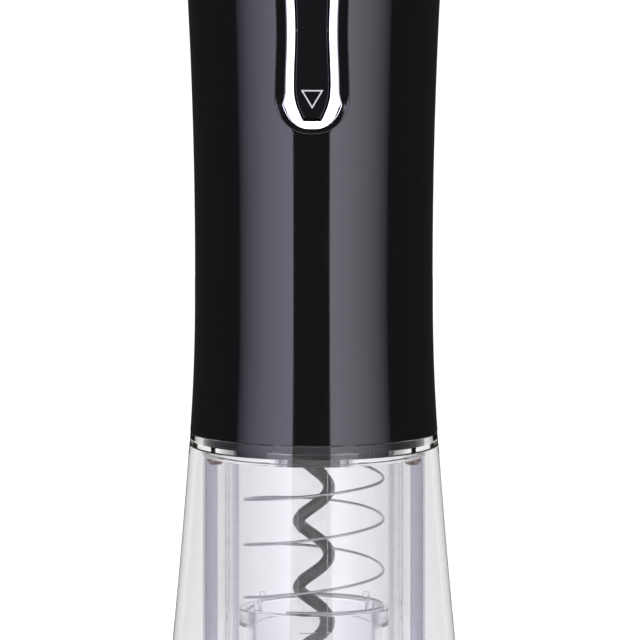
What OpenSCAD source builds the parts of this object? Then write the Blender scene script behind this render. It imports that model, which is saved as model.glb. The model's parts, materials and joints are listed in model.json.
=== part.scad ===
// Electric wine opener, upright, in millimetres.
// The origin is the centre of the skirt's resting rim, +Z is up and the button faces -Y.

/* [Body] */
// Height of the clear skirt, where the black housing starts
skirt_h = 84; // [78:1:110]
// Height of the waist above the lower edge of the housing
waist_up = 28; // [20:1:40]
// Length of the straight stretch at the waist
waist_len = 6.5; // [2:0.5:12]
// How much the housing widens from the waist to its lower edge
rim_flare = 1; // [0.8:0.1:2]
// How much the housing widens from the waist to its upper edge
top_flare = 5.3; // [3:0.1:9]
// How much the clear skirt widens from the housing to its foot
foot_flare = 8.2; // [4:0.1:14]
// Wall of the black housing
housing_wall = 2.2; // [1.8:0.1:2.6]
// Wall of the clear skirt
skirt_wall = 2; // [1.6:0.1:2.4]

/* [Guide and collar] */
// Radius of the bore that guides the bottle's neck
guide_bore_r = 16; // [14.5:0.1:20]
// Wall of the guide tube
guide_wall = 1.8; // [1.6:0.1:3]
// How far the guide tube stays above the resting rim
guide_lift = 2; // [1:0.5:6]
// Depth of the wider mouth at the lower end of the guide
mouth_depth = 18; // [10:1:20]
// Radius of the hollow screw posts
post_r = 2.8; // [2.6:0.1:3.6]
// Width of the keyways that stop the collar turning
keyway_w = 5.9; // [4:0.1:8]
// Depth of the keyways in the guide's wall
keyway_depth = 1; // [0.8:0.1:1.1]
// Height of the collar's lower face above the resting rim
collar_lift = 24; // [22:1:30]
// Height of the cork collar
collar_h = 23.2; // [16:0.1:28]
// Bore radius of the cork collar
collar_bore_r = 12.3; // [11.5:0.1:12.6]
// Diameter of the collar spring's wire
spring_wire = 0.6; // [0.4:0.05:0.9]
// Open turns of the collar spring
spring_turns = 3.24; // [2.5:0.01:5]

/* [Worm] */
// Outer radius of the worm's helix
worm_r = 4.45; // [3.8:0.05:5.2]
// Diameter of the worm's wire
worm_wire = 2.6; // [2:0.1:3]
// Rise of the worm in one turn
worm_pitch = 14; // [9:0.5:17]
// Height of the worm's tip above the collar's lower face
worm_tip_up = 2; // [1:0.5:8]

/* [Gearbox] */
// Module of every gear
gear_module = 0.6; // [0.5:0.05:0.6]
// Teeth of each sun gear
sun_teeth = 12; // [12:6:18]
// Teeth of each planet gear
planet_teeth = 18; // [18:3:18]
// Face width of the first, second and third stage, from the motor down
stage_face = [4.6, 5.2, 6.7];
// Thickness of the first, second and third carrier plate
carrier_t = [2, 2, 2.8];
// Radius of the spindle in its bearing
spindle_r = 4; // [3.4:0.1:4.8]

/* [Motor] */
// Radius of the motor can
motor_r = 13.9; // [11.5:0.1:16.7]
// Length of the motor can
motor_len = 38; // [32:1:46]
// Radius of the motor shaft
shaft_r = 1.15; // [0.9:0.05:1.4]

/* [Batteries and cap] */
// Radius of one cell
cell_r = 7.25; // [6:0.05:7.25]
// Length of one cell
cell_len = 50.5; // [42:0.5:60]
// Height of the domed battery cap
cap_h = 30; // [24:1:40]
// Wall of the battery cap
cap_wall = 2.2; // [1.6:0.1:2.4]

/* [Button] */
// Height of the button's centre above the lower edge of the housing
button_up = 85.8; // [84:0.1:87]
// Half the length of the rocker
rocker_half_l = 17.9; // [15:0.1:19]
// Half the width of the rocker at its waist
rocker_half_w = 3.05; // [2.8:0.01:4]
// Width of the bright band round the rocker
bezel_band = 2.2; // [1.6:0.1:2.6]
// Width of the bezel's slope from the band up to the housing
bezel_slope = 2.1; // [1:0.1:2.3]
// How far the bright band lies under the housing's surface
bezel_depth = 1.2; // [0.8:0.1:1.3]

/* [Fits] */
// Gap between pieces that are put together
fit = 0.1; // [0.08:0.01:0.15]
// Gap round pieces that move past each other
play = 0.3; // [0.25:0.01:0.35]
// Gap between a turning shaft and its bearing
bearing_play = 0.05; // [0.03:0.01:0.08]
// Shank radius of the large screws
screw_r = 1.2; // [1:0.05:1.3]

/* [Hidden] */
$fn = 96;

// Radii that grow outwards from the guide bore
guide_out_r = guide_bore_r + guide_wall;
post_x = guide_out_r + post_r - 0.1;
post_bore_r = post_r - 0.7;
chassis_r = post_x + 2.8;
flange_r = chassis_r - fit;
rim_r = chassis_r + play + housing_wall;
waist_r = rim_r - rim_flare;

// Heights of the parts that clamp the skirt, from the skirt's upper edge down
ledge_t = 1;
flange_t = 1.8;
chassis_z = skirt_h - 2;
ledge_z = chassis_z - ledge_t;
flange_z = ledge_z - flange_t;
chassis_t = 6;
chassis_top = chassis_z + chassis_t;
groove_z = chassis_z + 3.5;
groove_t = 1.5;
groove_depth = 1.3;
tab_angle = 33;
tab_w = 6;
notch_angle = 18;

// Gear train heights, from the spindle's carrier up to the motor
axial_gap = 0.3;
bearing_up = 2.5;
washer_t = 1;
bearing_top = chassis_top + bearing_up;
bearing_r = spindle_r + 2.5;
stage_z3 = bearing_top + washer_t + 0.5;
stage_z2 = stage_z3 + carrier_t[2] + stage_face[2] + 3 * axial_gap;
stage_z1 = stage_z2 + carrier_t[1] + stage_face[1] + 3 * axial_gap;
stage_z = [stage_z1, stage_z2, stage_z3];
lid_z = stage_z1 + carrier_t[0] + stage_face[0] + 4 * axial_gap;
lid_t = 2;

// Gears: the ring meshes with the planets and is cut in the gear case
ring_teeth = sun_teeth + 2 * planet_teeth;
ring_r = ring_teeth * gear_module / 2;
planet_at_r = (sun_teeth + planet_teeth) * gear_module / 2;
addendum = 0.9 * gear_module;
dedendum = 1.15 * gear_module;
pressure_angle = 25;
backlash = 0.12;
planet_pin_r = 1;
carrier_r = ring_r - addendum - 0.7;
case_wall = 2.9;
case_r = ring_r + dedendum + case_wall;
case_screw_at_r = case_r + screw_r + 0.4;
case_rib_r = screw_r + 1.2;
planet_angles = [90, 210, 330];

// Motor
motor_z = lid_z + lid_t;
motor_top = motor_z + motor_len;
can_wall = 0.8;
bell_t = 4;
bell_top = motor_top + bell_t;
motor_bearing_r = shaft_r + 1.85;
motor_bearing_t = 3;
motor_screw_x = 8;
rotor_r = motor_r - 3.1;

// Screws that join the two halves of the housing
joint_z = bell_top + 5;
joint_x = 17.5;
joint_boss_r = 2.8;
joint_head_r = 2.5;

// Battery compartment
tray_z = joint_z + 3.5;
tray_floor = 2;
shelf_t = 1;
cell_gap = 0.45;
cell_at = cell_r + cell_gap;
pocket_r = cell_r + 0.2;
tray_half = cell_at + pocket_r + 1.2;
cell_z = tray_z + tray_floor + 1.5;
cell_top = cell_z + cell_len;
nub_h = 1.3;
tray_top = cell_top - 3;
housing_top = cell_top + 1;
cell_spots = [[1, 1], [-1, 1], [-1, -1], [1, -1]];

// Housing outline
waist_lo = skirt_h + waist_up;
waist_hi = waist_lo + waist_len;
top_r = waist_r + top_flare;
foot_share = 0.716;
top_slope = 2 * top_flare / (housing_top - waist_hi);

// Ring that carries the cap
spigot_drop = 8;
spigot_h = 15;
spigot_z = housing_top - spigot_drop;
bead_t = 1.2;
bead_z = spigot_z + 2;
seal_wire_r = 0.6;
seal_z = housing_top + 3.8;
cap_z = housing_top + 0.4;
cap_roundness = 2.6;

// Button
button_z = skirt_h + button_up;
pin_sink = 2.4;
rocker_pin_r = 0.75;
rocker_end_growth = 0.33;
recess_grow = bezel_band + bezel_slope;
recess_end = 3.0;
recess_half_l = rocker_half_l + recess_end;
// How long the rounded end is, the share of the width that stays flat, and how full the corners are
rocker_ends = [6.6, 0.45, 0.9];
recess_ends = [7.5, 0.08, 0.5];
bezel_back = housing_wall + 1.2;
foot_up = 11;
foot_len = 1.6;
foot_r = 1.5;
well_depth = 1.5;
switch_h = 3.2;
switch_w = 6.2;
board_t = 1.6;
board_half_w = 13;
board_up = 19;
board_screw_x = 10.8;
board_screw_spots = [-16.3, -2.3];

// Worm and hub
hub_r = worm_r + 1.15;
hub_z = flange_z - 2.4;
hub_top = chassis_z - play;
hub_bore_z = hub_z + 2;
hub_hole_r = hub_r + 0.7;
worm_axis_r = worm_r - worm_wire / 2;
worm_tip_z = collar_lift + worm_tip_up;
worm_point = 9;
worm_end_z = hub_z + 0.6;
worm_turn = 137;

// Collar and its spring
collar_r = guide_bore_r - 0.4;
collar_tube_r = collar_bore_r + 1.9;
collar_top = collar_lift + collar_h;
collar_flange_t = 3.6;
collar_foot_t = 2.4;
spring_r = 14.5 * guide_bore_r / 16;
spring_lo = collar_top + spring_wire / 2 + 0.1;
spring_hi = flange_z - spring_wire / 2 - 0.1;
spring_share = 0.69;
spring_end_turns = 0.7;
spring_start = 0.63;

// ---------- outlines ----------

// Radius of the black housing at a height
function body_r(z) =
    z < waist_lo ? waist_r + rim_flare * pow((waist_lo - z) / waist_up, 2)
    : z > waist_hi ? waist_r + top_flare * pow((z - waist_hi) / (housing_top - waist_hi), 2)
    : waist_r;

// Radius of the clear skirt at a height
function skirt_r(z) =
    let (t = (skirt_h - z) / skirt_h)
    rim_r + foot_flare * (foot_share * t + (1 - foot_share) * t * t);

// Radius of the cap at a share of its height
function cap_r(t, r, h) = (r + top_slope * h * t * (1 - t) * (1 - t)) * pow(1 - pow(t, cap_roundness), 1 / cap_roundness);

// Heights at which the housing's outline turns
body_heights = concat([for (i = [0:4]) skirt_h + waist_up * i / 4],
                      [for (i = [0:9]) waist_hi + (housing_top - waist_hi) * i / 9]);

// A share of the way along a smooth step
function ease(t) = t * t * (3 - 2 * t);

// Half the width of the button's waisted outline at a distance from its middle
function waisted(u, half_l, half_w, grow, ends) =
    let (straight = half_l - ends[0],
         wide = half_w + grow * ease(min(1, u / straight)),
         blunt = wide * ends[1],
         e = max(0, u - straight) / ends[0])
    blunt + (wide - blunt) * pow(max(0, 1 - e * e), ends[2]);

// The points of that outline, with sine steps in its rounded ends
function waisted_points(half_l, half_w, grow, ends) =
    let (straight = half_l - ends[0],
         up = concat([for (i = [0:5]) straight * i / 6], [for (a = [0:15:90]) straight + ends[0] * sin(a)]),
         right = [for (u = up) [waisted(u, half_l, half_w, grow, ends), u]],
         n = len(right))
    concat(right, [for (i = [n - 1:-1:0]) [-right[i][0], right[i][1]]],
           [for (i = [1:n - 1]) [-right[i][0], -right[i][1]]],
           [for (i = [n - 1:-1:1]) [right[i][0], -right[i][1]]]);

// One side of an involute tooth: its angle from the tooth's middle at a radius
function involute(r, base_r) = let (c = min(1, base_r / r)) tan(acos(c)) * 180 / PI - acos(c);
function tooth_half_angle(r, pitch_r, thin) =
    let (base_r = pitch_r * cos(pressure_angle),
         at_pitch = (gear_module * PI / 2 - thin) / (2 * pitch_r) * 180 / PI)
    at_pitch + involute(pitch_r, base_r) - involute(max(r, base_r), base_r);

// Points of a gear with a tooth on +X, between a root and a tip radius
function gear_points(teeth, root_r, tip_r, thin) =
    let (pitch_r = teeth * gear_module / 2,
         steps = [for (i = [0:3]) root_r + (tip_r - root_r) * i / 3])
    [for (k = [0:teeth - 1]) for (side = [-1, 1]) for (i = [0:3])
        let (r = steps[side < 0 ? i : 3 - i],
             a = 360 * k / teeth + side * tooth_half_angle(r, pitch_r, thin))
        [r * cos(a), r * sin(a)]];

// Turns a point about Z
function turned(p, a) = [p[0] * cos(a) - p[1] * sin(a), p[0] * sin(a) + p[1] * cos(a), p[2]];
function unit(v) = v / norm(v);

// ---------- shared shapes ----------

// A tube swept along a path, with a radius for each of its points
module swept_tube(path, radii, sides = 8) {
    n = len(path);
    tangents = [for (i = [0:n - 1]) unit(path[min(n - 1, i + 1)] - path[max(0, i - 1)])];
    points = [for (i = [0:n - 1])
        let (t = tangents[i],
             side = unit(cross(t, abs(t[2]) > 0.9 ? [1, 0, 0] : [0, 0, 1])),
             other = cross(t, side))
        for (k = [0:sides - 1])
            path[i] + radii[i] * (cos(360 * k / sides) * side + sin(360 * k / sides) * other)];
    walls = [for (i = [0:n - 2]) for (k = [0:sides - 1])
        let (k2 = (k + 1) % sides)
        [i * sides + k, i * sides + k2, (i + 1) * sides + k2, (i + 1) * sides + k]];
    split = [for (f = walls) for (h = [0, 1]) h == 0 ? [f[0], f[2], f[1]] : [f[0], f[3], f[2]]];
    ends = [[for (k = [0:sides - 1]) k], [for (k = [sides - 1:-1:0]) (n - 1) * sides + k]];
    polyhedron(points = points, faces = concat(split, ends), convexity = 6);
}

// A soft lead that leaves one point along a direction and arrives at another
module lead(from, leave, to, arrive, r = 0.6) {
    steps = 10;
    path = [for (i = [0:steps])
        let (t = i / steps, s = 1 - t)
        s * s * s * from + 3 * s * s * t * (from + leave) + 3 * s * t * t * (to + arrive) + t * t * t * to];
    swept_tube(path, [for (p = path) r]);
}

// The solid inside the housing's outline, sunk under its surface
module body_core(sink, z0 = skirt_h, z1 = housing_top) {
    heights = concat([z0], [for (z = body_heights) if (z > z0 + 0.5 && z < z1 - 0.5) z], [z1]);
    rotate_extrude()
        polygon(concat([[0, z0]], [for (z = heights) [body_r(z) - sink, z]], [[0, z1]]));
}

// The layer of the housing between two depths
module body_layer(outer_sink, inner_sink, z0 = skirt_h, z1 = housing_top) {
    heights = concat([z0], [for (z = body_heights) if (z > z0 + 0.5 && z < z1 - 0.5) z], [z1]);
    n = len(heights) - 1;
    rotate_extrude()
        polygon(concat([for (z = heights) [body_r(z) - outer_sink, z]],
                       [for (i = [n:-1:0]) [body_r(heights[i]) - inner_sink, heights[i]]]));
}

// The button's outline, run from the axis out through the front wall
module button_prism(half_l, half_w, ends) {
    translate([0, 0, button_z])
        rotate([90, 0, 0])
            linear_extrude(height = 2 * top_r)
                polygon(waisted_points(half_l, half_w, rocker_end_growth, ends));
}

// A plain ring
module ring(outer_r, inner_r, z0, z1) {
    translate([0, 0, z0])
        difference() {
            cylinder(r = outer_r, h = z1 - z0);
            translate([0, 0, -1])
                cylinder(r = inner_r, h = z1 - z0 + 2);
        }
}

// A cylinder along +Y from one depth to another
module along_y(r, x, z, y0, y1) {
    translate([x, y0, z])
        rotate([-90, 0, 0])
            cylinder(r = r, h = y1 - y0, $fn = 48);
}

// A cross-headed screw standing on Z = 0 with its shank up, or down when flipped
module screw(shank_r, shank_l, head_r, head_h) {
    difference() {
        union() {
            translate([0, 0, -head_h])
                cylinder(r = head_r, h = head_h, $fn = 48);
            cylinder(r = shank_r, h = shank_l, $fn = 48);
        }
        for (a = [0, 90])
            rotate([0, 0, a])
                translate([-head_r * 0.6, -head_r * 0.13, -head_h - 1])
                    cube([head_r * 1.2, head_r * 0.26, 1 + head_h * 0.55]);
    }
}

module gear(teeth, h, bore_r) {
    pitch_r = teeth * gear_module / 2;
    difference() {
        linear_extrude(height = h)
            polygon(gear_points(teeth, pitch_r - dedendum, pitch_r + addendum, backlash));
        if (bore_r > 0)
            translate([0, 0, -1])
                cylinder(r = bore_r, h = h + 2, $fn = 48);
    }
}

// Places children at each of the four gear case screws
module at_case_screws() {
    for (a = [45:90:315])
        rotate([0, 0, a])
            translate([case_screw_at_r, 0, 0])
                children();
}

module at_cells() {
    for (s = cell_spots)
        translate([s[0] * cell_at, s[1] * cell_at, 0])
            children();
}

// Four blocks round the front and the back, at an angle either side of each
module at_tabs(angle) {
    for (side = [-90, 90]) for (way = [-1, 1])
        rotate([0, 0, side + way * angle])
            children();
}

// ---------- clear parts ----------

module clear_skirt() {
    steps = 12;
    heights = [for (i = [0:steps]) ledge_z * i / steps];
    color([0.9, 0.9, 0.96, 0.35])
        difference() {
            rotate_extrude()
                polygon(concat([for (z = heights) [skirt_r(z), z]],
                               [[rim_r, skirt_h], [chassis_r + fit, skirt_h], [chassis_r + fit, chassis_z],
                                [guide_bore_r - 2, chassis_z], [guide_bore_r - 2, ledge_z]],
                               [for (i = [steps:-1:0]) [skirt_r(heights[i]) - skirt_wall, heights[i]]]));
            at_tabs(tab_angle)
                translate([chassis_r - 2.5, -tab_w / 2 - fit, ledge_z - 1])
                    cube([2.5 + fit, tab_w + 2 * fit, 3]);
            for (x = [-post_x, post_x])
                translate([x, 0, ledge_z - 1])
                    cylinder(r = screw_r, h = 3, $fn = 48);
        }
}

module guide_tube() {
    groove_r = guide_bore_r + keyway_depth;
    color([0.9, 0.9, 0.96, 0.35])
        difference() {
            union() {
                ring(guide_out_r, guide_bore_r, guide_lift, flange_z + 0.1);
                ring(flange_r, hub_hole_r, flange_z, ledge_z);
                for (x = [-1, 1]) {
                    translate([x * post_x, 0, 8])
                        cylinder(r = post_r, h = flange_z - 8, $fn = 48);
                    translate([x * (guide_out_r + 0.6) - 1, -0.8, 8])
                        cube([2, 1.6, flange_z - 8]);
                }
            }
            translate([0, 0, guide_lift - 1])
                cylinder(r = guide_bore_r + 0.5, h = mouth_depth + 1);
            for (side = [-1, 1])
                intersection() {
                    translate([-keyway_w / 2, side > 0 ? 0 : -guide_out_r, collar_lift - 0.2])
                        cube([keyway_w, guide_out_r, flange_z - collar_lift + 0.2]);
                    cylinder(r = groove_r, h = skirt_h);
                }
            for (x = [-post_x, post_x]) {
                translate([x, 0, 7])
                    cylinder(r = post_bore_r, h = flange_z - 7, $fn = 48);
                translate([x, 0, flange_z - 1])
                    cylinder(r = screw_r, h = flange_t + 2, $fn = 48);
            }
        }
}

module guide_screws() {
    color([0.55, 0.45, 0.36])
        for (x = [-post_x, post_x])
            translate([x, 0, flange_z])
                screw(screw_r - fit, chassis_z - flange_z + 5, post_bore_r - fit, 2.4);
}

// ---------- chassis and gearbox ----------

module chassis_plate() {
    color([0.10, 0.10, 0.14])
        difference() {
            union() {
                ring(chassis_r, bearing_r, chassis_z, groove_z);
                ring(chassis_r - groove_depth, bearing_r, chassis_z, chassis_top);
                ring(chassis_r - 0.4, bearing_r, groove_z + groove_t, chassis_top);
                ring(bearing_r + 3.5, bearing_r, chassis_z, bearing_top - washer_t);
                at_tabs(tab_angle)
                    intersection() {
                        translate([chassis_r - 2.4, -tab_w / 2, ledge_z])
                            cube([4, tab_w, ledge_t + 0.5]);
                        cylinder(r = chassis_r, h = chassis_z + 1);
                    }
            }
            at_tabs(notch_angle)
                translate([chassis_r - 1.6, -1, chassis_z - 1])
                    cube([3, 2, 3]);
            for (x = [-post_x, post_x])
                translate([x, 0, chassis_z - 1])
                    cylinder(r = screw_r, h = 6.3, $fn = 48);
            at_case_screws()
                translate([0, 0, chassis_z + 1.2])
                    cylinder(r = screw_r + bearing_play, h = chassis_t, $fn = 48);
        }
}

module output_bearing() {
    color([0.72, 0.53, 0.26])
        ring(bearing_r, spindle_r + bearing_play, chassis_z, bearing_top);
}

module thrust_washer() {
    color([0.75, 0.75, 0.78])
        ring(bearing_r + 1.5, spindle_r + play, bearing_top, bearing_top + washer_t);
}

module gear_case() {
    color([0.82, 0.82, 0.80])
        translate([0, 0, chassis_top])
            difference() {
                union() {
                    cylinder(r = case_r, h = lid_z - chassis_top);
                    at_case_screws()
                        cylinder(r = case_rib_r, h = lid_z - chassis_top, $fn = 48);
                }
                translate([0, 0, -1])
                    rotate([0, 0, 180 / ring_teeth])
                        linear_extrude(height = lid_z - chassis_top + 2)
                            polygon(gear_points(ring_teeth, ring_r - addendum, ring_r + dedendum, -backlash));
                at_case_screws()
                    translate([0, 0, -1])
                        cylinder(r = screw_r + fit, h = lid_z - chassis_top + 2, $fn = 48);
            }
}

module gear_case_lid() {
    color([0.66, 0.67, 0.69])
        translate([0, 0, lid_z])
            difference() {
                union() {
                    cylinder(r = case_r, h = lid_t);
                    at_case_screws()
                        cylinder(r = case_rib_r, h = lid_t, $fn = 48);
                }
                translate([0, 0, -1])
                    cylinder(r = motor_bearing_r + 0.2, h = lid_t + 2);
                for (x = [-motor_screw_x, motor_screw_x])
                    translate([x, 0, -1]) {
                        cylinder(r = screw_r + fit, h = lid_t + 2, $fn = 48);
                        cylinder(r = screw_r + 1.1, h = 2.3, $fn = 48);
                    }
                at_case_screws()
                    translate([0, 0, -1])
                        cylinder(r = screw_r + fit, h = lid_t + 2, $fn = 48);
            }
}

module gear_case_screws() {
    color([0.70, 0.70, 0.73])
        at_case_screws()
            translate([0, 0, motor_z])
                mirror([0, 0, 1])
                    screw(screw_r, motor_z - chassis_z - 2, screw_r + 0.9, 1.4);
}

// Carrier plate with three planet pins above it
module carrier(stage) {
    t = carrier_t[stage - 1];
    translate([0, 0, stage_z[stage - 1]]) {
        cylinder(r = carrier_r, h = t);
        for (a = planet_angles)
            rotate([0, 0, a])
                translate([planet_at_r, 0, 0])
                    cylinder(r = planet_pin_r, h = t + stage_face[stage - 1] + 2 * axial_gap, $fn = 48);
    }
}

// Sun gear that hangs under a carrier and drives the next stage down
module sun_under(stage) {
    h = stage_face[stage - 1] + 2 * axial_gap;
    translate([0, 0, stage_z[stage - 1] + carrier_t[stage - 1] + axial_gap])
        gear(sun_teeth, h, 0);
}

module planet(stage, index) {
    a = planet_angles[index];
    color([0.88, 0.86, 0.78])
        rotate([0, 0, a])
            translate([planet_at_r, 0, stage_z[stage - 1] + carrier_t[stage - 1] + axial_gap])
                rotate([0, 0, 180 + 180 / planet_teeth])
                    gear(planet_teeth, stage_face[stage - 1], planet_pin_r + bearing_play);
}

module carrier_1() {
    color([0.60, 0.61, 0.64]) {
        carrier(1);
        sun_under(2);
    }
}

module carrier_2() {
    color([0.60, 0.61, 0.64]) {
        carrier(2);
        sun_under(3);
    }
}

module drive_spindle() {
    color([0.60, 0.61, 0.64]) {
        carrier(3);
        translate([0, 0, hub_bore_z])
            cylinder(r = spindle_r, h = stage_z3 - hub_bore_z + 0.5);
    }
}

// ---------- motor ----------

module motor_can() {
    color([0.74, 0.75, 0.77])
        difference() {
            translate([0, 0, motor_z])
                cylinder(r = motor_r, h = motor_len);
            translate([0, 0, motor_z + 1])
                cylinder(r = motor_r - can_wall, h = motor_len);
            translate([0, 0, motor_z - 1])
                cylinder(r = motor_bearing_r, h = 4, $fn = 48);
            for (x = [-motor_screw_x, motor_screw_x])
                translate([x, 0, motor_z - 1])
                    cylinder(r = screw_r, h = 4, $fn = 48);
        }
}

module motor_magnets() {
    outer = motor_r - can_wall;
    color([0.25, 0.25, 0.27])
        difference() {
            ring(outer, rotor_r + 0.5, motor_z + 6, motor_top - 7);
            for (y = [-1, 1])
                translate([-6, y > 0 ? 0 : -motor_r, motor_z])
                    cube([12, motor_r, motor_len]);
        }
}

module motor_bearings() {
    color([0.72, 0.53, 0.26]) {
        ring(motor_bearing_r, shaft_r + bearing_play, motor_z, motor_z + motor_bearing_t);
        ring(motor_bearing_r, shaft_r + bearing_play, bell_top - motor_bearing_t, bell_top);
    }
}

module motor_end_bell() {
    color([0.12, 0.12, 0.13])
        difference() {
            union() {
                translate([0, 0, motor_top])
                    cylinder(r = motor_r - 0.3, h = bell_t);
                translate([0, 0, motor_top - 1])
                    cylinder(r = motor_r - can_wall - fit / 2, h = 1.5);
            }
            translate([0, 0, motor_top - 2])
                cylinder(r = shaft_r + 1, h = 4, $fn = 48);
            translate([0, 0, bell_top - motor_bearing_t])
                cylinder(r = motor_bearing_r, h = motor_bearing_t + 1, $fn = 48);
            for (x = [-1, 1])
                translate([x * 9 - 0.3, -1.5, bell_top - 2])
                    cube([0.6, 3, 3]);
        }
}

module motor_terminals() {
    color([0.80, 0.66, 0.35])
        for (x = [-1, 1])
            translate([x * 9 - 0.3, -1.5, bell_top - 2])
                cube([0.6, 3, 5]);
}

module motor_screws() {
    color([0.70, 0.70, 0.73])
        for (x = [-motor_screw_x, motor_screw_x])
            translate([x, 0, lid_z + 1.3])
                screw(screw_r, 3, screw_r + 0.9, 1.2);
}

module motor_shaft() {
    z0 = stage_z1 + carrier_t[0] + axial_gap;
    color([0.85, 0.85, 0.87])
        translate([0, 0, z0])
            cylinder(r = shaft_r, h = bell_top + 0.4 - z0);
}

module motor_rotor() {
    color([0.45, 0.35, 0.28])
        difference() {
            union() {
                translate([0, 0, motor_z + 7])
                    cylinder(r = rotor_r, h = motor_len - 15);
                translate([0, 0, motor_top - 8.5])
                    cylinder(r = 4, h = 6);
            }
            translate([0, 0, motor_z])
                cylinder(r = shaft_r, h = motor_len);
        }
}

module motor_pinion() {
    color([0.78, 0.64, 0.34])
        translate([0, 0, stage_z1 + carrier_t[0] + axial_gap])
            gear(sun_teeth, stage_face[0], shaft_r);
}

// ---------- worm, collar and spring ----------

module worm_hub() {
    color([0.16, 0.16, 0.18])
        difference() {
            translate([0, 0, hub_z])
                cylinder(r = hub_r, h = hub_top - hub_z);
            translate([0, 0, hub_bore_z])
                cylinder(r = spindle_r, h = hub_top);
        }
}

module worm() {
    per_turn = 18;
    rise = worm_end_z - worm_tip_z;
    n = ceil(rise / worm_pitch * per_turn);
    heights = [for (i = [0:n]) worm_tip_z + rise * i / n];
    path = [for (z = heights)
        turned([worm_axis_r, 0, z], 360 * (z - worm_end_z) / worm_pitch + worm_turn)];
    radii = [for (z = heights) worm_wire / 2 * (0.12 + 0.88 * sin(90 * min(1, (z - worm_tip_z) / worm_point)))];
    color([0.30, 0.30, 0.33])
        swept_tube(path, radii, 8);
}

module cork_collar() {
    key_r = guide_bore_r + keyway_depth - play;
    key_w = keyway_w - 2 * play;
    color([0.92, 0.92, 0.97, 0.35])
        difference() {
            union() {
                ring(collar_tube_r, collar_bore_r, collar_lift, collar_top);
                ring(collar_r, collar_bore_r, collar_top - collar_flange_t, collar_top);
                ring(collar_r, collar_bore_r, collar_lift, collar_lift + collar_foot_t);
                intersection() {
                    for (z = [collar_lift, collar_top - collar_flange_t])
                        translate([-key_w / 2, -guide_out_r, z])
                            cube([key_w, 2 * guide_out_r, z > collar_lift ? collar_flange_t : collar_foot_t]);
                    cylinder(r = key_r, h = collar_top);
                }
                at_tabs(58)
                    translate([(collar_bore_r + spring_r) / 2 - 0.2, 0, collar_top - 1])
                        cylinder(r = 0.75, h = 3, $fn = 32);
            }
            translate([0, 0, collar_lift - 1])
                cylinder(r = collar_bore_r, h = collar_h + 4);
        }
}

module collar_spring() {
    per_turn = 20;
    total = spring_turns + 2 * spring_end_turns;
    n = round(total * per_turn);
    path = [for (i = [0:n])
        let (k = total * i / n - spring_end_turns,
             t = max(0, min(1, k / spring_turns)),
             drop = spring_share * t + (1 - spring_share) * t * t)
        turned([spring_r, 0, spring_hi - (spring_hi - spring_lo) * drop], -360 * (k - spring_start))];
    color([0.72, 0.72, 0.74])
        swept_tube(path, [for (p = path) spring_wire / 2], 6);
}

// ---------- housing ----------

// The wall, its beads and what both halves share, before it is split
module housing_body() {
    inner_groove_r = body_r(groove_z) - housing_wall;
    bead_r = body_r(bead_z) - housing_wall + 0.5;
    difference() {
        union() {
            body_layer(0, housing_wall);
            intersection() {
                ring(inner_groove_r + 1, chassis_r - groove_depth + fit, groove_z + fit, groove_z + groove_t - fit);
                body_core(0.5);
            }
            intersection() {
                difference() {
                    ring(top_r, 17, tray_z - shelf_t, tray_z);
                    translate([-board_half_w - 1, -top_r, tray_z - 5])
                        cube([2 * board_half_w + 2, top_r - tray_half + 0.6, 10]);
                }
                body_core(0.5);
            }
            intersection() {
                for (x = [-joint_x, joint_x])
                    along_y(joint_boss_r, x, joint_z, -top_r, top_r);
                body_core(0.5);
            }
        }
        translate([0, 0, bead_z - fit])
            cylinder(r = bead_r + fit, h = bead_t + 2 * fit);
    }
}

module half_space(front) {
    translate([-2 * top_r, front ? -2 * top_r : 0, 0])
        cube([4 * top_r, 2 * top_r, 2 * housing_top]);
}

module front_housing() {
    color([0.07, 0.07, 0.075])
        difference() {
            intersection() {
                housing_body();
                half_space(true);
            }
            button_prism(recess_half_l, rocker_half_w + recess_grow, recess_ends);
            for (x = [-joint_x, joint_x])
                along_y(screw_r, x, joint_z, -9, 1);
        }
    color([0.07, 0.07, 0.075])
        difference() {
            intersection() {
                for (x = [-board_screw_x, board_screw_x]) for (u = board_screw_spots)
                    along_y(1.5, x, button_z + u, -top_r, board_y);
                body_core(0.5);
            }
            for (x = [-board_screw_x, board_screw_x]) for (u = board_screw_spots)
                along_y(0.75, x, button_z + u, board_y - 1.4, board_y + 1);
        }
}

module rear_housing() {
    color([0.07, 0.07, 0.075])
        difference() {
            intersection() {
                housing_body();
                half_space(false);
            }
            for (x = [-joint_x, joint_x]) {
                along_y(screw_r + fit, x, joint_z, -1, top_r);
                along_y(joint_head_r + fit, x, joint_z, 8, top_r);
            }
        }
}

module housing_screws() {
    color([0.70, 0.70, 0.73])
        for (x = [-joint_x, joint_x])
            translate([x, 8, joint_z])
                rotate([90, 0, 0])
                    screw(screw_r, 16, joint_head_r - 0.3, 1.6);
}

module screw_plugs() {
    color([0.09, 0.09, 0.095])
        intersection() {
            for (x = [-joint_x, joint_x])
                along_y(joint_head_r, x, joint_z, 11, top_r);
            body_core(fit);
        }
}

// ---------- batteries and cap ----------

spigot_r = body_r(spigot_z) - housing_wall - 0.15;
spigot_wall = 2.4;

module top_ring() {
    color([0.11, 0.11, 0.12])
        difference() {
            union() {
                ring(spigot_r, spigot_r - spigot_wall, spigot_z, spigot_z + spigot_h);
                ring(body_r(bead_z) - housing_wall + 0.5, spigot_r - spigot_wall, bead_z, bead_z + bead_t);
            }
            ring(spigot_r + 1, spigot_r - 1.5 * seal_wire_r, seal_z - seal_wire_r - fit, seal_z + seal_wire_r + fit);
        }
}

module cap_seal() {
    color([0.30, 0.30, 0.31])
        rotate_extrude()
            translate([spigot_r - seal_wire_r / 2 + 0.02, seal_z])
                circle(r = seal_wire_r, $fn = 24);
}

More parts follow.
